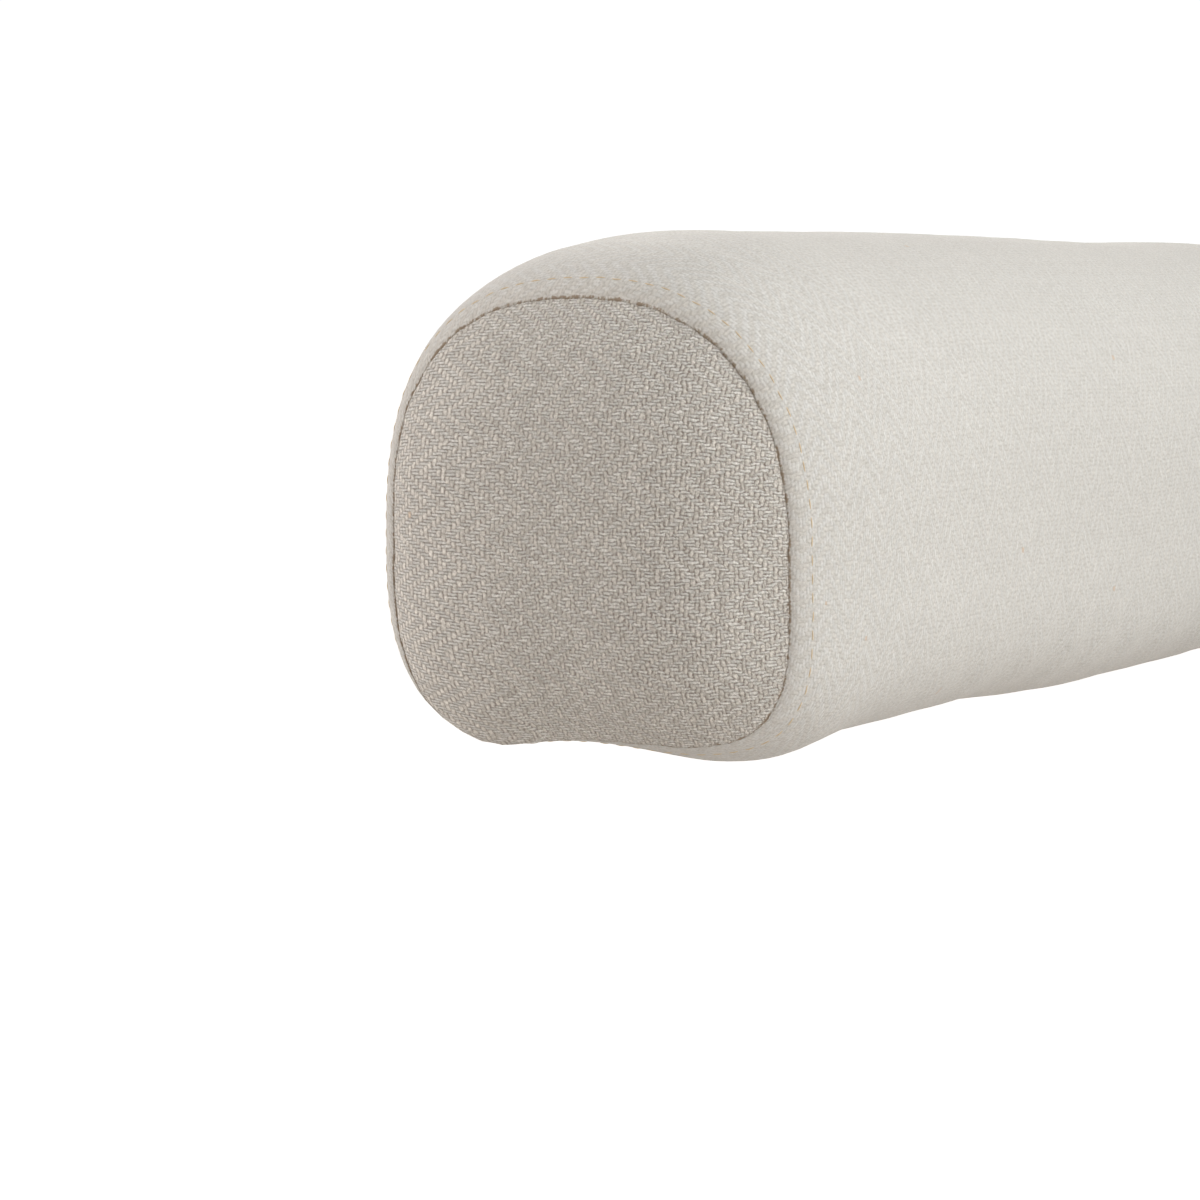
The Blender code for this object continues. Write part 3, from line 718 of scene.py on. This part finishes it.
def sectionAt(behind):
    # points round the roll as (towards the sitter, along, up) from its middle line
    far = float(smoothStep(behind, *roll["changes"]))
    inside = insideAt(behind)

    def part(key):
        return armFront[key] + (armBack[key] - armFront[key]) * far

    powers = [
        a + (b - a) * far + (c - a) * inside
        for a, b, c in zip(armFront["powers"], armBack["powers"], shoulder["powers"])
    ]
    rise = part("rise") - shoulder["rise"] * inside
    if behind >= upperEdge["behind"][0] or inside < upperEdge["inside"]:
        rise += np.interp(behind, upperEdge["behind"], upperEdge["rise"])
    drop = part("drop") - shoulder["drop"] * inside
    c, s = np.cos(fineTurn), np.sin(fineTurn)
    sitterSide = c >= 0
    half = np.where(sitterSide, *[part(side) - shoulder[side] * inside for side in ("inner", "outer")])
    power = np.where(s >= 0, np.where(sitterSide, *powers[:2]), np.where(sitterSide, *powers[2:]))
    tall = np.where(s >= 0, rise, drop)
    reach = ((np.abs(c) / half) ** power + (np.abs(s) / tall) ** power) ** (-1 / power)
    u, h = reach * c, reach * s
    low = smoothStep(-h, 0.0, lowerEdge["tall"])
    sitter = smoothStep(u, *lowerEdge["sitter"])
    archWide = np.where(u < shoulder["archAt"], *shoulder["archWide"])
    lift = shoulder["arch"] * bell(u - shoulder["archAt"], archWide) * inside
    lift = lift - shoulder["foot"] * bell(u - shoulder["footAt"], shoulder["footWide"]) * inside
    drawn = drawUp["lift"] * bell(behind - drawUp["behind"], drawUp["reach"])
    lift = lift + drawn * (1 - sitter) * (1 - inside)
    share = lowerEdge["outerShare"]
    sag = np.interp(behind, lowerEdge["behind"], lowerEdge["drop"]) * (share + (1 - share) * sitter)
    hung = pouch["drop"] * bell(behind - pouch["behind"], pouch["reach"])
    sag = sag + hung * bell(u - pouch["at"], pouch["wide"])
    h = h + (lift - sag) * low
    h = h + part("tilt") * u
    length = distances(np.stack([u, h], 1))
    at = shares * length[-1]
    u = np.interp(at, length, u)
    h = np.interp(at, length, h)
    along = (shoulder["lean"][0] * u + shoulder["lean"][1] * h) * inside
    wobble = 1 + shoulder["wobble"] * inside**6 * seamWander / np.hypot(u, h)
    return np.stack([u * wobble, along, h * wobble], 1)


def inWorld(run, ring):
    x, y, heading = lineAt(run)
    out = np.array([-math.sin(heading), math.cos(heading), 0.0])
    onward = np.array([math.cos(heading), math.sin(heading), 0.0])
    middle = np.array([x, y, roll["waistZ"]])
    return middle - ring[:, :1] * out + ring[:, 1:2] * onward + ring[:, 2:] * np.array([0.0, 0.0, 1.0])


def shrink(ring, inset):
    size = np.hypot(ring[:, 0], ring[:, 2])[:, None]
    scaled = ring.copy()
    scaled[:, [0, 2]] = ring[:, [0, 2]] * (1 - inset / size)
    return scaled


def turnedIn(rim, folds):
    rings = []
    for inset, depth in folds:
        ring = shrink(rim, inset)
        ring[:, 1] += depth
        rings.append(ring)
    return rings


def rollStations():
    turns = np.linspace(0, math.pi / 2, roll["shoulderRings"])
    runs = [shoulder["length"] * (1 - math.cos(turn)) for turn in turns]
    half = roll["wholeRun"] / 2
    count = round((half - shoulder["length"]) / roll["step"])
    runs += list(np.linspace(shoulder["length"], half, count + 1)[1:])
    for seam in crossSeams:
        runs += [seam + off for off in roll["besideSeam"]]
    runs = np.array(sorted(runs))
    keep = np.concatenate([[True], np.diff(runs) > roll["leastStep"]])
    keep[: roll["shoulderRings"]] = True
    return runs[keep].tolist()


def fromFront(run):
    return np.minimum(run, roll["wholeRun"] - run)


def fromUnder(share):
    # distance from the seam under the roll
    return np.minimum(share, 1 - share) * roll["girth"]


padding = {
    "lumps": (0.085, 0.0005, 0.0012),  # size, height at the front, and more of it further back
    "lumpsGrow": (0.02, 0.3),
    "smallLumps": (0.03, 0.00025),
    "folds": (0.034, 0.0016, 0.0006),  # pitch, height and unevenness, inside the bends
    "foldsEnd": (0.38, 0.72),  # from the middle of a bend, in shares of its run
    "draws": (0.031, 0.0006),  # pitch and height
    "drawsAt": (0.15, 0.03),  # round the section, and how wide
    "drawsStart": (0.05, 0.11),
    "drawsEnd": (0.42, 0.47),
    "seam": (0.0022, 0.0014),  # depth and width, of a seam across the roll and the hollow round it
    "seamHollow": (0.0012, 0.011),
    "puckers": 31,
    "under": (0.0018, 0.0014),  # and of the seam under the roll
    "underHollow": (0.0009, 0.008),
    "underStart": (0.012, 0.05),
    "legDent": (0.0035, 0.026),
}


def rollRelief(points, normals, run, share):
    # padding lumps, folds inside the bends and the sunk seams, along the normals
    behind = fromFront(run)
    size, height, more = padding["lumps"]
    lumps = softNoise(points, size) * (height + more * smoothStep(behind, *padding["lumpsGrow"]))
    size, height = padding["smallLumps"]
    lumps = lumps + softNoise(points, size, 7.3) * height
    bendMiddle = roll["armRun"] + roll["bendRun"] / 2
    ends = [roll["bendRun"] * part for part in padding["foldsEnd"]]
    inBend = 1 - smoothStep(np.abs(behind - bendMiddle), *ends)
    sitterSide = np.clip(np.sin(share * math.pi * 2 * 0.98), 0, 1) ** 1.2
    wander = softNoise(np.stack([run * 0.5, share * 0.22, run * 0], 1), 0.05, 3.1)
    pitch, height, uneven = padding["folds"]
    fold = np.sin(run * (2 * math.pi / pitch) + 2.6 * wander)
    folds = inBend * sitterSide * (np.abs(fold) ** 0.7 * np.sign(fold) * height + uneven * wander)
    # slanting draws where the cloth is pulled round the lower edge
    middle, wide = padding["drawsAt"]
    pulled = bell(share - middle, wide) * smoothStep(behind, *padding["drawsStart"])
    pulled = pulled * (1 - smoothStep(behind, *padding["drawsEnd"]))
    pitch, height = padding["draws"]
    draws = pulled * np.sin(run * (2 * math.pi / pitch) + share * 26 + 3.0 * wander) * height
    sunk = np.zeros(len(run))
    pucker = 1 + 0.35 * np.sin(share * 2 * math.pi * padding["puckers"])
    for seam in crossSeams:
        sunk -= dip(behind - seam, padding["seam"]) + dip(behind - seam, padding["seamHollow"]) * pucker
    under = dip(fromUnder(share), padding["under"]) + dip(fromUnder(share), padding["underHollow"])
    sunk -= under * smoothStep(behind, *padding["underStart"])
    for x, y in legHeads:
        gap = np.hypot(points[:, 0] - x, points[:, 1] - y)
        sunk -= dip(gap, padding["legDent"]) * (normals[:, 2] < -0.3)
    return lumps + folds + draws + sunk


def seamMarks(run, share):
    # painted shade along the cross seams and the seam under the roll
    lines = [fromFront(run) - seam for seam in crossSeams] + [fromUnder(share)]
    return np.max([bell(line, roll["seamShadeMark"]) for line in lines], axis=0)


def makeRoll():
    runs = rollStations()
    around = len(shares)
    # the cloth turns in at the seam, and the end is closed behind the end panel
    left = [inWorld(0.0, ring) for ring in turnedIn(sectionAt(0.0), roll["turnIn"])]
    leftRuns = [-0.001 * k for k in range(len(left), 0, -1)] + runs
    left += [inWorld(run, sectionAt(run)) for run in runs]
    whole = left + [ring * mirror for ring in left[-2::-1]]
    wholeRuns = np.array(leftRuns + [roll["wholeRun"] - run for run in leftRuns[-2::-1]])
    points = np.concatenate(whole)
    faces, corners = ringFaces(len(whole), around)
    # cloth measure: round the roll, and along its surface
    along = distances(np.stack([ring[around // 4] for ring in whole]))
    straight = np.clip(wholeRuns, 0, roll["wholeRun"])
    start = roll["measured"]
    along = np.where(straight < start, along, along[np.searchsorted(wholeRuns, start)] + straight - start)
    girth = np.append(shares, 1.0) * roll["girth"]
    uv = [(girth[k], along[ring]) for quad in corners for ring, k in quad]
    faces += endFaces(len(whole), around)
    uv += [(girth[k], 0.0) for k in range(around)] * 2
    run = np.repeat(wholeRuns, around)
    share = np.tile(shares, len(whole))
    frontShadeMark = bell(fromFront(run), roll["frontShadeMark"])
    inward = (run < 0) | (run > roll["wholeRun"])
    # painted shade: darkest on the turned-in rings, then along the front seam, the cross seams and the seam
    # under the roll
    seam = np.where(inward, 1.0, np.maximum(frontShadeMark, seamMarks(run, share)))
    piece = meshPiece("horseshoe_roll_cover", points, faces, uv, seam)
    relief = rollRelief(points, normalsOf(piece.data), run, share)
    relief[inward] = 0
    pushOut(piece.data, points, relief)
    finishPiece(piece, creamFabric, ("horseshoe_roll",))
    print("roll made:", len(piece.data.polygons), "faces")


makeRoll()

endPanel = {
    "dome": 0.0190,
    "gap": 0.00008,  # rim inside the roll's seam
    "turnIn": ((0.0016, 0.0040), (0.0004, 0.0030), (0.0, 0.0014)),  # inset, depth
    "marks": (1.0, 1.0, 1.0, 0.85, 0.25),  # painted seam shade on the turned-in rings and the first ones after
    "roll": 0.0004,  # how far the lower rim hangs over its seam
    "rollAt": (0.03, 0.025),  # from the rim, and how wide
    "rollLow": (0.03, 0.05),
    "rollOuter": (0.0, 0.03),
    "power": 2.6,
    "swell": 0.9,
    "drawnFrom": 0.012,  # from the middle
    "drawnSoft": 0.016,
    "drawnOut": 1.75,
    "lumps": (0.03, 0.0006),  # size and height
    "lumpsGrow": (0.02, 0.2),
    "rings": (1.0, 0.992, 0.98, 0.965, 0.945, 0.92, 0.89, 0.855, 0.815, 0.77, 0.72, 0.665, 0.605, 0.54, 0.47,
              0.395, 0.315, 0.23, 0.14, 0.05),
}


def makeEndPanel(word, side):
    rim = shrink(sectionAt(0.0), endPanel["gap"])
    around = len(shares)
    layers = turnedIn(rim, endPanel["turnIn"])
    under = smoothStep(-rim[:, 2], *endPanel["rollLow"])
    under = under * (1 - smoothStep(rim[:, 0], *endPanel["rollOuter"]))
    rollAt, rollWide = endPanel["rollAt"]
    for share in endPanel["rings"]:
        ring = rim.copy()
        ring[:, [0, 2]] *= share
        ring[:, 1] = shoulder["lean"][0] * ring[:, 0] + shoulder["lean"][1] * ring[:, 2]
        ring[:, 1] -= endPanel["dome"] * (1 - share ** endPanel["power"]) ** endPanel["swell"]
        ring[:, 2] -= endPanel["roll"] * bell(1 - share - rollAt, rollWide) * under
        layers.append(ring)
    middle = np.array([[0.0, -endPanel["dome"], 0.0]])
    points = np.concatenate([inWorld(0.0, ring) for ring in [*layers, middle]])
    faces, _ = ringFaces(len(layers), around)
    last = (len(layers) - 1) * around
    faces += [(last + k, last + (k + 1) % around, len(points) - 1) for k in range(around)]
    faces.append(tuple(range(around)))
    if side > 0:
        points = points * mirror
    # the cloth lies over the dome, measured from its middle
    spokes = np.concatenate([points[:-1].reshape(-1, around, 3), np.repeat(points[-1:, None], around, 1)])
    reach = np.linalg.norm(np.diff(spokes, axis=0), axis=2)[::-1].cumsum(axis=0)[::-1].reshape(-1, 1)
    centre = points[-1, [0, 2]]
    flat = unit(points[:-1, [0, 2]] - centre) * reach + centre
    # and is drawn out sideways at the outer flank
    outward = (flat[:, 0] - centre[0]) * side
    beyond = np.maximum(outward - endPanel["drawnFrom"], 0)
    drawn = beyond**2 / (beyond + endPanel["drawnSoft"]) * (1 - 1 / endPanel["drawnOut"])
    flat[:, 0] -= drawn * side
    flat = np.append(flat, [centre], axis=0).tolist()
    uv = [flat[k] for face in faces for k in face]
    seam = np.zeros(len(points))
    marks = np.repeat(endPanel["marks"], around)
    seam[: len(marks)] = marks
    piece = meshPiece(f"end_panel_cover_{word}", points, faces, uv, seam)
    inner = np.repeat([0] * len(endPanel["turnIn"]) + [1 - share for share in endPanel["rings"]], around)
    size, height = endPanel["lumps"]
    grow = smoothStep(np.append(inner, 1.0), *endPanel["lumpsGrow"])
    pushOut(piece.data, points, softNoise(points, size, 2.7) * height * grow)
    finishPiece(piece, panelFabric, (f"end_panel_{word}",))


for sideWord, sideSign in (("left", -1), ("right", 1)):
    makeEndPanel(sideWord, sideSign)
print("end panels made")

armStitch = {
    "fromSeam": 0.0066, "length": 0.0034, "gap": 0.0014, "radius": 0.0002, "sink": 0.00005, "sides": 6,
    "lastRing": 40,  # of the roll, well behind the stitches
}


def valuesAt(line, values, spots):
    # what a line's values are at some distances along it
    far = distances(line)
    return np.stack([np.interp(spots, far, values[:, k]) for k in range(3)], 1)


def threadMesh(line, facing, spec):
    # short raised stitches of thread along a line that lies on the cloth
    pitch = spec["length"] + spec["gap"]
    sides = spec["sides"]
    rise = np.sin(np.linspace(0, math.pi, sides))
    radius = spec["radius"] * (0.35 + 0.65 * rise**0.5)
    lift = spec["radius"] * 0.1 * rise - spec["sink"] * 3 * (1 - rise)
    tube = ringFaces(sides, sides)[0] + endFaces(sides, sides)
    points = []
    faces = []
    for k in range(int(distances(line)[-1] / pitch)):
        spots = k * pitch + np.linspace(0, 1, sides) * spec["length"]
        path = valuesAt(line, line, spots)
        normal = unit(valuesAt(line, facing, spots))
        aside = np.cross(unit(np.gradient(path, axis=0)), normal)
        faces += [tuple(len(points) + corner for corner in face) for face in tube]
        for j in range(sides):
            middle = path[j] + normal[j] * lift[j]
            for turn in np.arange(sides) * 2 * math.pi / sides:
                points.append(middle + radius[j] * (math.cos(turn) * aside[j] + math.sin(turn) * normal[j]))
    return np.array(points), faces


def makeArmStitches():
    # where the turned-in edge is caught, a little behind the seam
    mesh = bpy.data.objects["horseshoe_roll_cover"].data
    around = len(shares)
    rings = slice(len(roll["turnIn"]), armStitch["lastRing"])
    spot = [armStitch["fromSeam"]]
    for word, order in (("left", 1), ("right", -1)):
        near = pointsOf(mesh).reshape(-1, around, 3)[::order][rings]
        facing = normalsOf(mesh).reshape(-1, around, 3)[::order][rings]
        spokes = [*range(around), 0]
        line = np.concatenate([valuesAt(near[:, k], near[:, k], spot) for k in spokes])
        sides = np.concatenate([valuesAt(near[:, k], facing[:, k], spot) for k in spokes])
        thread = meshPiece(f"arm_stitching_{word}", *threadMesh(line, unit(sides), armStitch))
        finishPiece(thread, tanThread)


makeArmStitches()
print("arm stitching made")


# loose cushions

seatCushion = {
    "step": 0.0105, "seamRow": 0.0042, "corner": 0.012, "crown": 0.022, "underCrown": 0.0, "boxing": 0.105,
    "tilt": 0.0,
    "sewn": (0.985, 0.985, 1.0),  # share of the size before it is filled
    "cap": 0.024, "pressure": 4.0, "quality": 5, "frames": 20,
    "seamDepth": 0.003,
    "dents": ((0.11, 1.9, 0.0016), (0.035, 5.2, 0.0004)),  # size, shift, depth
}
backCushion = {**seatCushion, "corner": 0.014, "crown": 0.020, "underCrown": 1.0, "boxing": 0.094}
backCushion["tilt"] = math.radians(78)


def rowPlaces(length, step, edge):
    count = max(2, round((length - 2 * edge) / step))
    inner = edge + (length - 2 * edge) * np.arange(count + 1) / count
    return np.concatenate([[0.0], inner, [length]]) - length / 2


def cushionGrid(size, spec):
    # a top, a bottom and a boxing strip sewn to both, in the cushion's own frame
    wide, deep, _ = size
    boxing = spec["boxing"]
    xs, ys, zs = [rowPlaces(length, spec["step"], spec["seamRow"]) for length in (wide, deep, boxing)]
    zs = zs + boxing / 2
    nx, ny = len(xs), len(ys)
    a, b = np.meshgrid(xs / (wide / 2), ys / (deep / 2), indexing="ij")
    pull = (np.abs(a) * np.abs(b)) ** 9 * spec["corner"]
    x = a * wide / 2 - np.sign(a) * pull
    y = b * deep / 2 - np.sign(b) * pull
    crown = spec["crown"] * np.clip(1 - a * a, 0, 1) ** 0.8 * np.clip(1 - b * b, 0, 1) ** 0.8
    top = np.stack([x, y, boxing + crown], 2).reshape(-1, 3)
    bottom = np.stack([x, y, -crown * spec["underCrown"]], 2).reshape(-1, 3)
    rim = np.array(sheetRim(nx, ny))
    rows = [bottom[rim] + (top[rim] - bottom[rim]) * z / boxing for z in zs[1:-1]]
    points = np.concatenate([top, bottom, *rows])
    faces = sheetFaces(nx, ny)
    uv = [(xs[k // ny % nx] + (k >= nx * ny), ys[k % ny]) for face in faces for k in face]
    # the boxing, from the bottom's rim up to the top's
    between = 2 * nx * ny + np.arange(len(rows) * len(rim)).reshape(-1, len(rim))
    levels = np.vstack([nx * ny + rim, between, rim])
    strip, corners = ringFaces(len(levels), len(rim))
    faces += [tuple(face) for face in levels.ravel()[np.array(strip)].tolist()]
    far = distances(np.vstack([top[rim], top[rim[:1]]]))
    uv += [(far[k], zs[level]) for quad in corners for level, k in quad]
    return points, faces, uv, [set(rim.tolist()), set((nx * ny + rim).tolist())]


def startCushion(name, size, spec):
    points, faces, uv, seams = cushionGrid(size, spec)
    # the seam rings, for sinking them and for their painted shade
    seam = np.zeros(len(points))
    for ring in seams:
        seam[list(ring)] = 1.0
    piece = meshPiece(name, points, faces, uv, seam)
    crease = piece.data.attributes.new("crease_edge", "FLOAT", "EDGE")
    sewn = [float(any(ring.issuperset(edge.vertices) for ring in seams)) for edge in piece.data.edges]
    crease.data.foreach_set("value", sewn)
    return piece


def inflate(pieces, spec):
    # fill the covers: cloth under pressure, no gravity, movement capped
    for piece in pieces:
        cloth = piece.modifiers.new("filling", "CLOTH")
        cloth.settings.quality = spec["quality"]
        cloth.settings.use_pressure = True
        cloth.settings.uniform_pressure_force = spec["pressure"]
        cloth.settings.effector_weights.gravity = 0
        cloth.collision_settings.use_collision = False
        cloth.point_cache.frame_start = 1
        cloth.point_cache.frame_end = spec["frames"]
    for step in range(1, spec["frames"] + 1):
        scene.frame_set(step)
    graph = bpy.context.evaluated_depsgraph_get()
    shapes = [pointsOf(piece.evaluated_get(graph).data) for piece in pieces]
    for piece, shape in zip(pieces, shapes):
        start = pointsOf(piece.data)
        shape = shape - (shape.mean(0) - start.mean(0))
        moved = shape - start
        far = np.linalg.norm(moved, axis=1)[:, None]
        moved *= np.minimum(1, spec["cap"] / np.maximum(far, 1e-9))
        piece.modifiers.clear()
        movePoints(piece.data, start + moved)
    scene.frame_set(1)


def fitBox(points, low, high):
    size = points.max(0) - points.min(0)
    return (points - points.min(0)) / size * (np.array(high) - np.array(low)) + np.array(low)


def sewAndSmooth(piece, spec):
    # sink the seams, round everything once, then a few soft dents
    pushOut(piece.data, pointsOf(piece.data), -seamOf(piece.data) * spec["seamDepth"])
    roundOnce(piece)
    graph = bpy.context.evaluated_depsgraph_get()
    rounded = bpy.data.meshes.new_from_object(piece.evaluated_get(graph))
    piece.modifiers.clear()
    old = piece.data
    piece.data = rounded
    bpy.data.meshes.remove(old)
    points = pointsOf(rounded)
    seam = seamOf(rounded)
    place = points + np.array([0.0, 0.0, len(piece.name) * 0.13])
    dents = sum(softNoise(place, size, shift) * depth for size, shift, depth in spec["dents"])
    pushOut(rounded, points, dents * (1 - seam))
    # the painted seam shade narrowed to the seams themselves
    rounded.attributes["seam"].data.foreach_set("value", (seam**4).astype(np.float32))


def localFrame(node, tilt):
    # the cushion's middle and size in its own leaning frame
    turn = np.array(Matrix.Rotation(tilt, 3, "X"))
    own = pointsOf(cadNodes[node].data) @ turn
    return turn, own.min(0), own.max(0)


def makeCushions():
    sets = []
    for word in ("left", "right"):
        for kind, spec in (("seat_cushion", seatCushion), ("back_cushion", backCushion)):
            turn, low, high = localFrame(f"{kind}_{word}", spec["tilt"])
            piece = startCushion(f"{kind}_cover_{word}", (high - low) * np.array(spec["sewn"]), spec)
            sets.append((piece, f"{kind}_{word}", spec, turn, low, high))
    inflate([row[0] for row in sets], seatCushion)
    for piece, node, spec, turn, low, high in sets:
        points = pointsOf(piece.data)
        if spec is seatCushion:
            points[:, 2] = np.maximum(points[:, 2], 0)  # flat where it rests on the deck
        movePoints(piece.data, fitBox(points, low, high))
        sewAndSmooth(piece, spec)
        movePoints(piece.data, fitBox(pointsOf(piece.data), low, high) @ turn.T)
        finishPiece(piece, creamFabric, (node,))
    print("cushions made:", len(sets))


makeCushions()


# the seat box

boxCover = {
    "halfX": 0.53133, "front": -0.36, "rear": 0.2992, "corner": 0.015, "thick": 0.006,
    "low": 0.165, "high": 0.30, "swell": 0.0034, "step": 0.012, "ripple": 0.0007,
    "lip": ((1.0, 0.0012), (0.75, 0.0003), (0.4, 0.0), (0.12, 0.0011)),  # share of thick, from the edge
    "rows": 20, "edge": 0.003,
    "hem": 0.016, "welt": 0.013,  # seams, from the lower and the upper edge
    "besideSeam": (-0.002, -0.001, 0, 0.001, 0.002),
    # the sunk seams: width, depth, and how dark they are painted as shade
    "seamWide": 0.0011, "seamDepth": 0.0013, "seamShadeMark": 0.7,
    "legFree": (0.024, 0.075),  # flat against a leg, and free of it
}
boxLegs = [(-0.53763, -0.29), (0.53763, -0.29), *legHeads]


def boxPath():
    # round the box at its outer face: points, outward directions and distance
    halfX, front, rear, bend = [boxCover[key] for key in ("halfX", "front", "rear", "corner")]
    corners = [(halfX, front, -90), (halfX, rear, 0), (-halfX, rear, 90), (-halfX, front, 180)]
    spots = []
    outs = []
    for index, (x, y, start) in enumerate(corners):
        cx = x - math.copysign(bend, x)
        cy = y - math.copysign(bend, y)
        for turn in np.radians(np.linspace(start, start + 90, 9)):
            spots.append((cx + bend * math.cos(turn), cy + bend * math.sin(turn)))
            outs.append((math.cos(turn), math.sin(turn)))
        nextX, nextY, _ = corners[(index + 1) % 4]
        here = np.array(spots[-1])
        side = np.array([nextX - x, nextY - y], float)
        length = np.linalg.norm(side) - 2 * bend
        side /= np.linalg.norm(side)
        count = int(length / boxCover["step"])
        for k in range(1, count):
            spots.append(tuple(here + side * length * k / count))
            outs.append(outs[-1])
    return np.array(spots), np.array(outs), distances(np.array([*spots, spots[0]]))


def makeBoxCover():
    spec = boxCover
    spots, outs, far = boxPath()
    free = np.ones(len(spots))
    for x, y in boxLegs:
        free = np.minimum(free, smoothStep(np.hypot(spots[:, 0] - x, spots[:, 1] - y), *spec["legFree"]))
    low, high, thick = spec["low"], spec["high"], spec["thick"]
    seams = [low + spec["hem"], high - spec["welt"]]
    levels = [np.linspace(low + spec["edge"], high - spec["edge"], spec["rows"])]
    levels += [level + np.array(spec["besideSeam"]) for level in seams]
    profile = [(-thick * share, low + up) for share, up in spec["lip"]]
    profile += [(0.0, z) for z in np.unique(np.round(np.concatenate(levels), 5))]
    profile += [(-thick * share, high - up) for share, up in spec["lip"][::-1]]
    rows = []
    seam = []
    for off, z in profile:
        sink = float(max(bell(z - level, spec["seamWide"]) for level in seams))
        share = (z - low) / (high - low)
        swell = spec["swell"] * np.clip(math.sin(math.pi * share), 0, 1) ** 0.6 * free
        ripple = np.array([noise.noise(Vector((d * 26, z * 14, 0.3))) for d in far[:-1]])
        ripple = spec["ripple"] * ripple * free
        push = off + (swell + ripple) * (off > -thick * 0.5) - spec["seamDepth"] * sink
        rows.append(np.column_stack([spots + outs * push[:, None], np.full(len(spots), z)]))
        # painted shade along the sunk seams
        seam += [sink * spec["seamShadeMark"]] * len(spots)
    # closed by the inner face, against the rails
    faces, corners = ringFaces(len(rows), len(spots), closed=True)
    ups = np.append(distances(np.array(profile)), 0.0)
    uv = [(far[k], ups[row]) for quad in corners for row, k in quad]
    piece = meshPiece("box_band", np.concatenate(rows), faces, uv, seam)
    finishPiece(piece, creamFabric, ("box_cover",))


makeBoxCover()

deckPad = {
    "step": 0.03, "seamRow": 0.003, "corner": 0.004, "crown": 0.0, "underCrown": 0.0,
    "dents": (0.07, 0.0004),  # size and depth
    "dentsFrom": 0.006,
}
dustSheet = {"step": 0.02, "sag": 0.0022, "thick": 0.0006, "gap": 0.0003}


def makeDeckPad():
    low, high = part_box("deck_pad")
    size = np.array(high) - np.array(low)
    piece = startCushion("deck_felt_pad", size, {**deckPad, "boxing": size[2]})
    points = fitBox(pointsOf(piece.data), low, high)
    size, depth = deckPad["dents"]
    points[:, 2] -= depth * (1 + softNoise(points, size)) * (points[:, 2] > low.z + deckPad["dentsFrom"])
    movePoints(piece.data, points)
    roundOnce(piece)
    finishPiece(piece, deckFelt, ("deck_pad",))


def makeDustCover():
    low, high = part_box("dust_cover")
    wide, deep = high.x - low.x, high.y - low.y
    xs = np.linspace(low.x, high.x, int(wide / dustSheet["step"]))
    ys = np.linspace(low.y, high.y, int(deep / dustSheet["step"]))
    a, b = np.meshgrid(xs, ys, indexing="ij")
    hang = (1 - (a / high.x) ** 2) * (1 - ((2 * b - low.y - high.y) / deep) ** 2)
    grid = np.stack([a, b, high.z - dustSheet["gap"] - dustSheet["sag"] * hang], 2).reshape(-1, 3)
    under = grid - np.array([0, 0, dustSheet["thick"]])
    faces = sheetFaces(len(xs), len(ys))
    rim = sheetRim(len(xs), len(ys))
    for here, after in zip(rim, rim[1:] + rim[:1]):
        faces.append((here, after, len(grid) + after, len(grid) + here))
    piece = meshPiece("dust_cloth_sheet", np.concatenate([grid, under]), faces)
    finishPiece(piece, dustCloth, ("dust_cover",))


makeDeckPad()
makeDustCover()
print("seat box made")


# bolts with a hex socket in a domed head

legBolt = {"shank": 0.004, "head": 0.0075, "tall": 0.0042, "flat": 0.0025, "socket": 0.0024, "sides": 48}


def makeBolt(node):
    low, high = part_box(node)
    middle = (low + high) / 2
    span = high - low
    axis = 0 if span.x > span.y else 1
    sign = 1 if middle[axis] > 0 else -1
    shank, head, top, flat, socket, sides = legBolt.values()
    tip = top - span[axis]
    # radius and height, from the chamfered tip to the dome
    rings = [(0.0004, tip), (shank - 0.0006, tip), (shank, tip + 0.0007)]
    rings += [(shank, 0.0001), (head - 0.0002, 0.0001), (head, 0.0004)]
    for turn in np.linspace(0.12, 0.86, 9) * math.pi / 2:
        rings.append((head * math.cos(turn) ** 0.8, top * math.sin(turn) ** 0.9))
    lip = rings[-1][1]
    turns = np.arange(sides) * 2 * math.pi / sides
    hexagon = flat / np.cos((turns + math.pi / 6) % (math.pi / 3) - math.pi / 6)
    layers = [(np.full(sides, radius), z) for radius, z in rings]
    layers += [(hexagon + 0.0003, lip), (hexagon, lip - 0.0003), (hexagon, lip - socket)]
    layers += [(hexagon * 0.3, lip - socket - 0.0004)]
    points = [(r * math.cos(t), r * math.sin(t), z) for radii, z in layers for r, t in zip(radii, turns)]
    faces = ringFaces(len(layers), sides)[0] + endFaces(len(layers), sides)
    out = Vector((sign, 0, 0)) if axis == 0 else Vector((0, sign, 0))
    seat = middle.copy()
    seat[axis] = (high if sign > 0 else low)[axis] - sign * top
    place = Matrix.Translation(seat) @ out.to_track_quat("Z", "Y").to_matrix().to_4x4()
    piece = meshPiece(node.replace("bolt", "bolt_socket"), [tuple(place @ Vector(p)) for p in points], faces)
    finishPiece(piece, blackCoat, (node,))


for nodeName in sorted(cadNodes):
    if "_bolt_" in nodeName:
        makeBolt(nodeName)
print("bolts made")


# finishes on the solids that stay

nodeFinish = {
    "_leg_": blackCoat,
    "_shoe_": blackPlastic,
    "core_tube": bareSteel,
    "_rail": timber,
    "corner_block": timber,
    "webbing_strap": webbing,
}


def dressNodes():
    dressed = 0
    for name, node in cadNodes.items():
        for word, material in nodeFinish.items():
            if word in name:
                node.data.materials.clear()
                node.data.materials.append(material)
                dressed += 1
                break
    print("solids dressed:", dressed)


dressNodes()
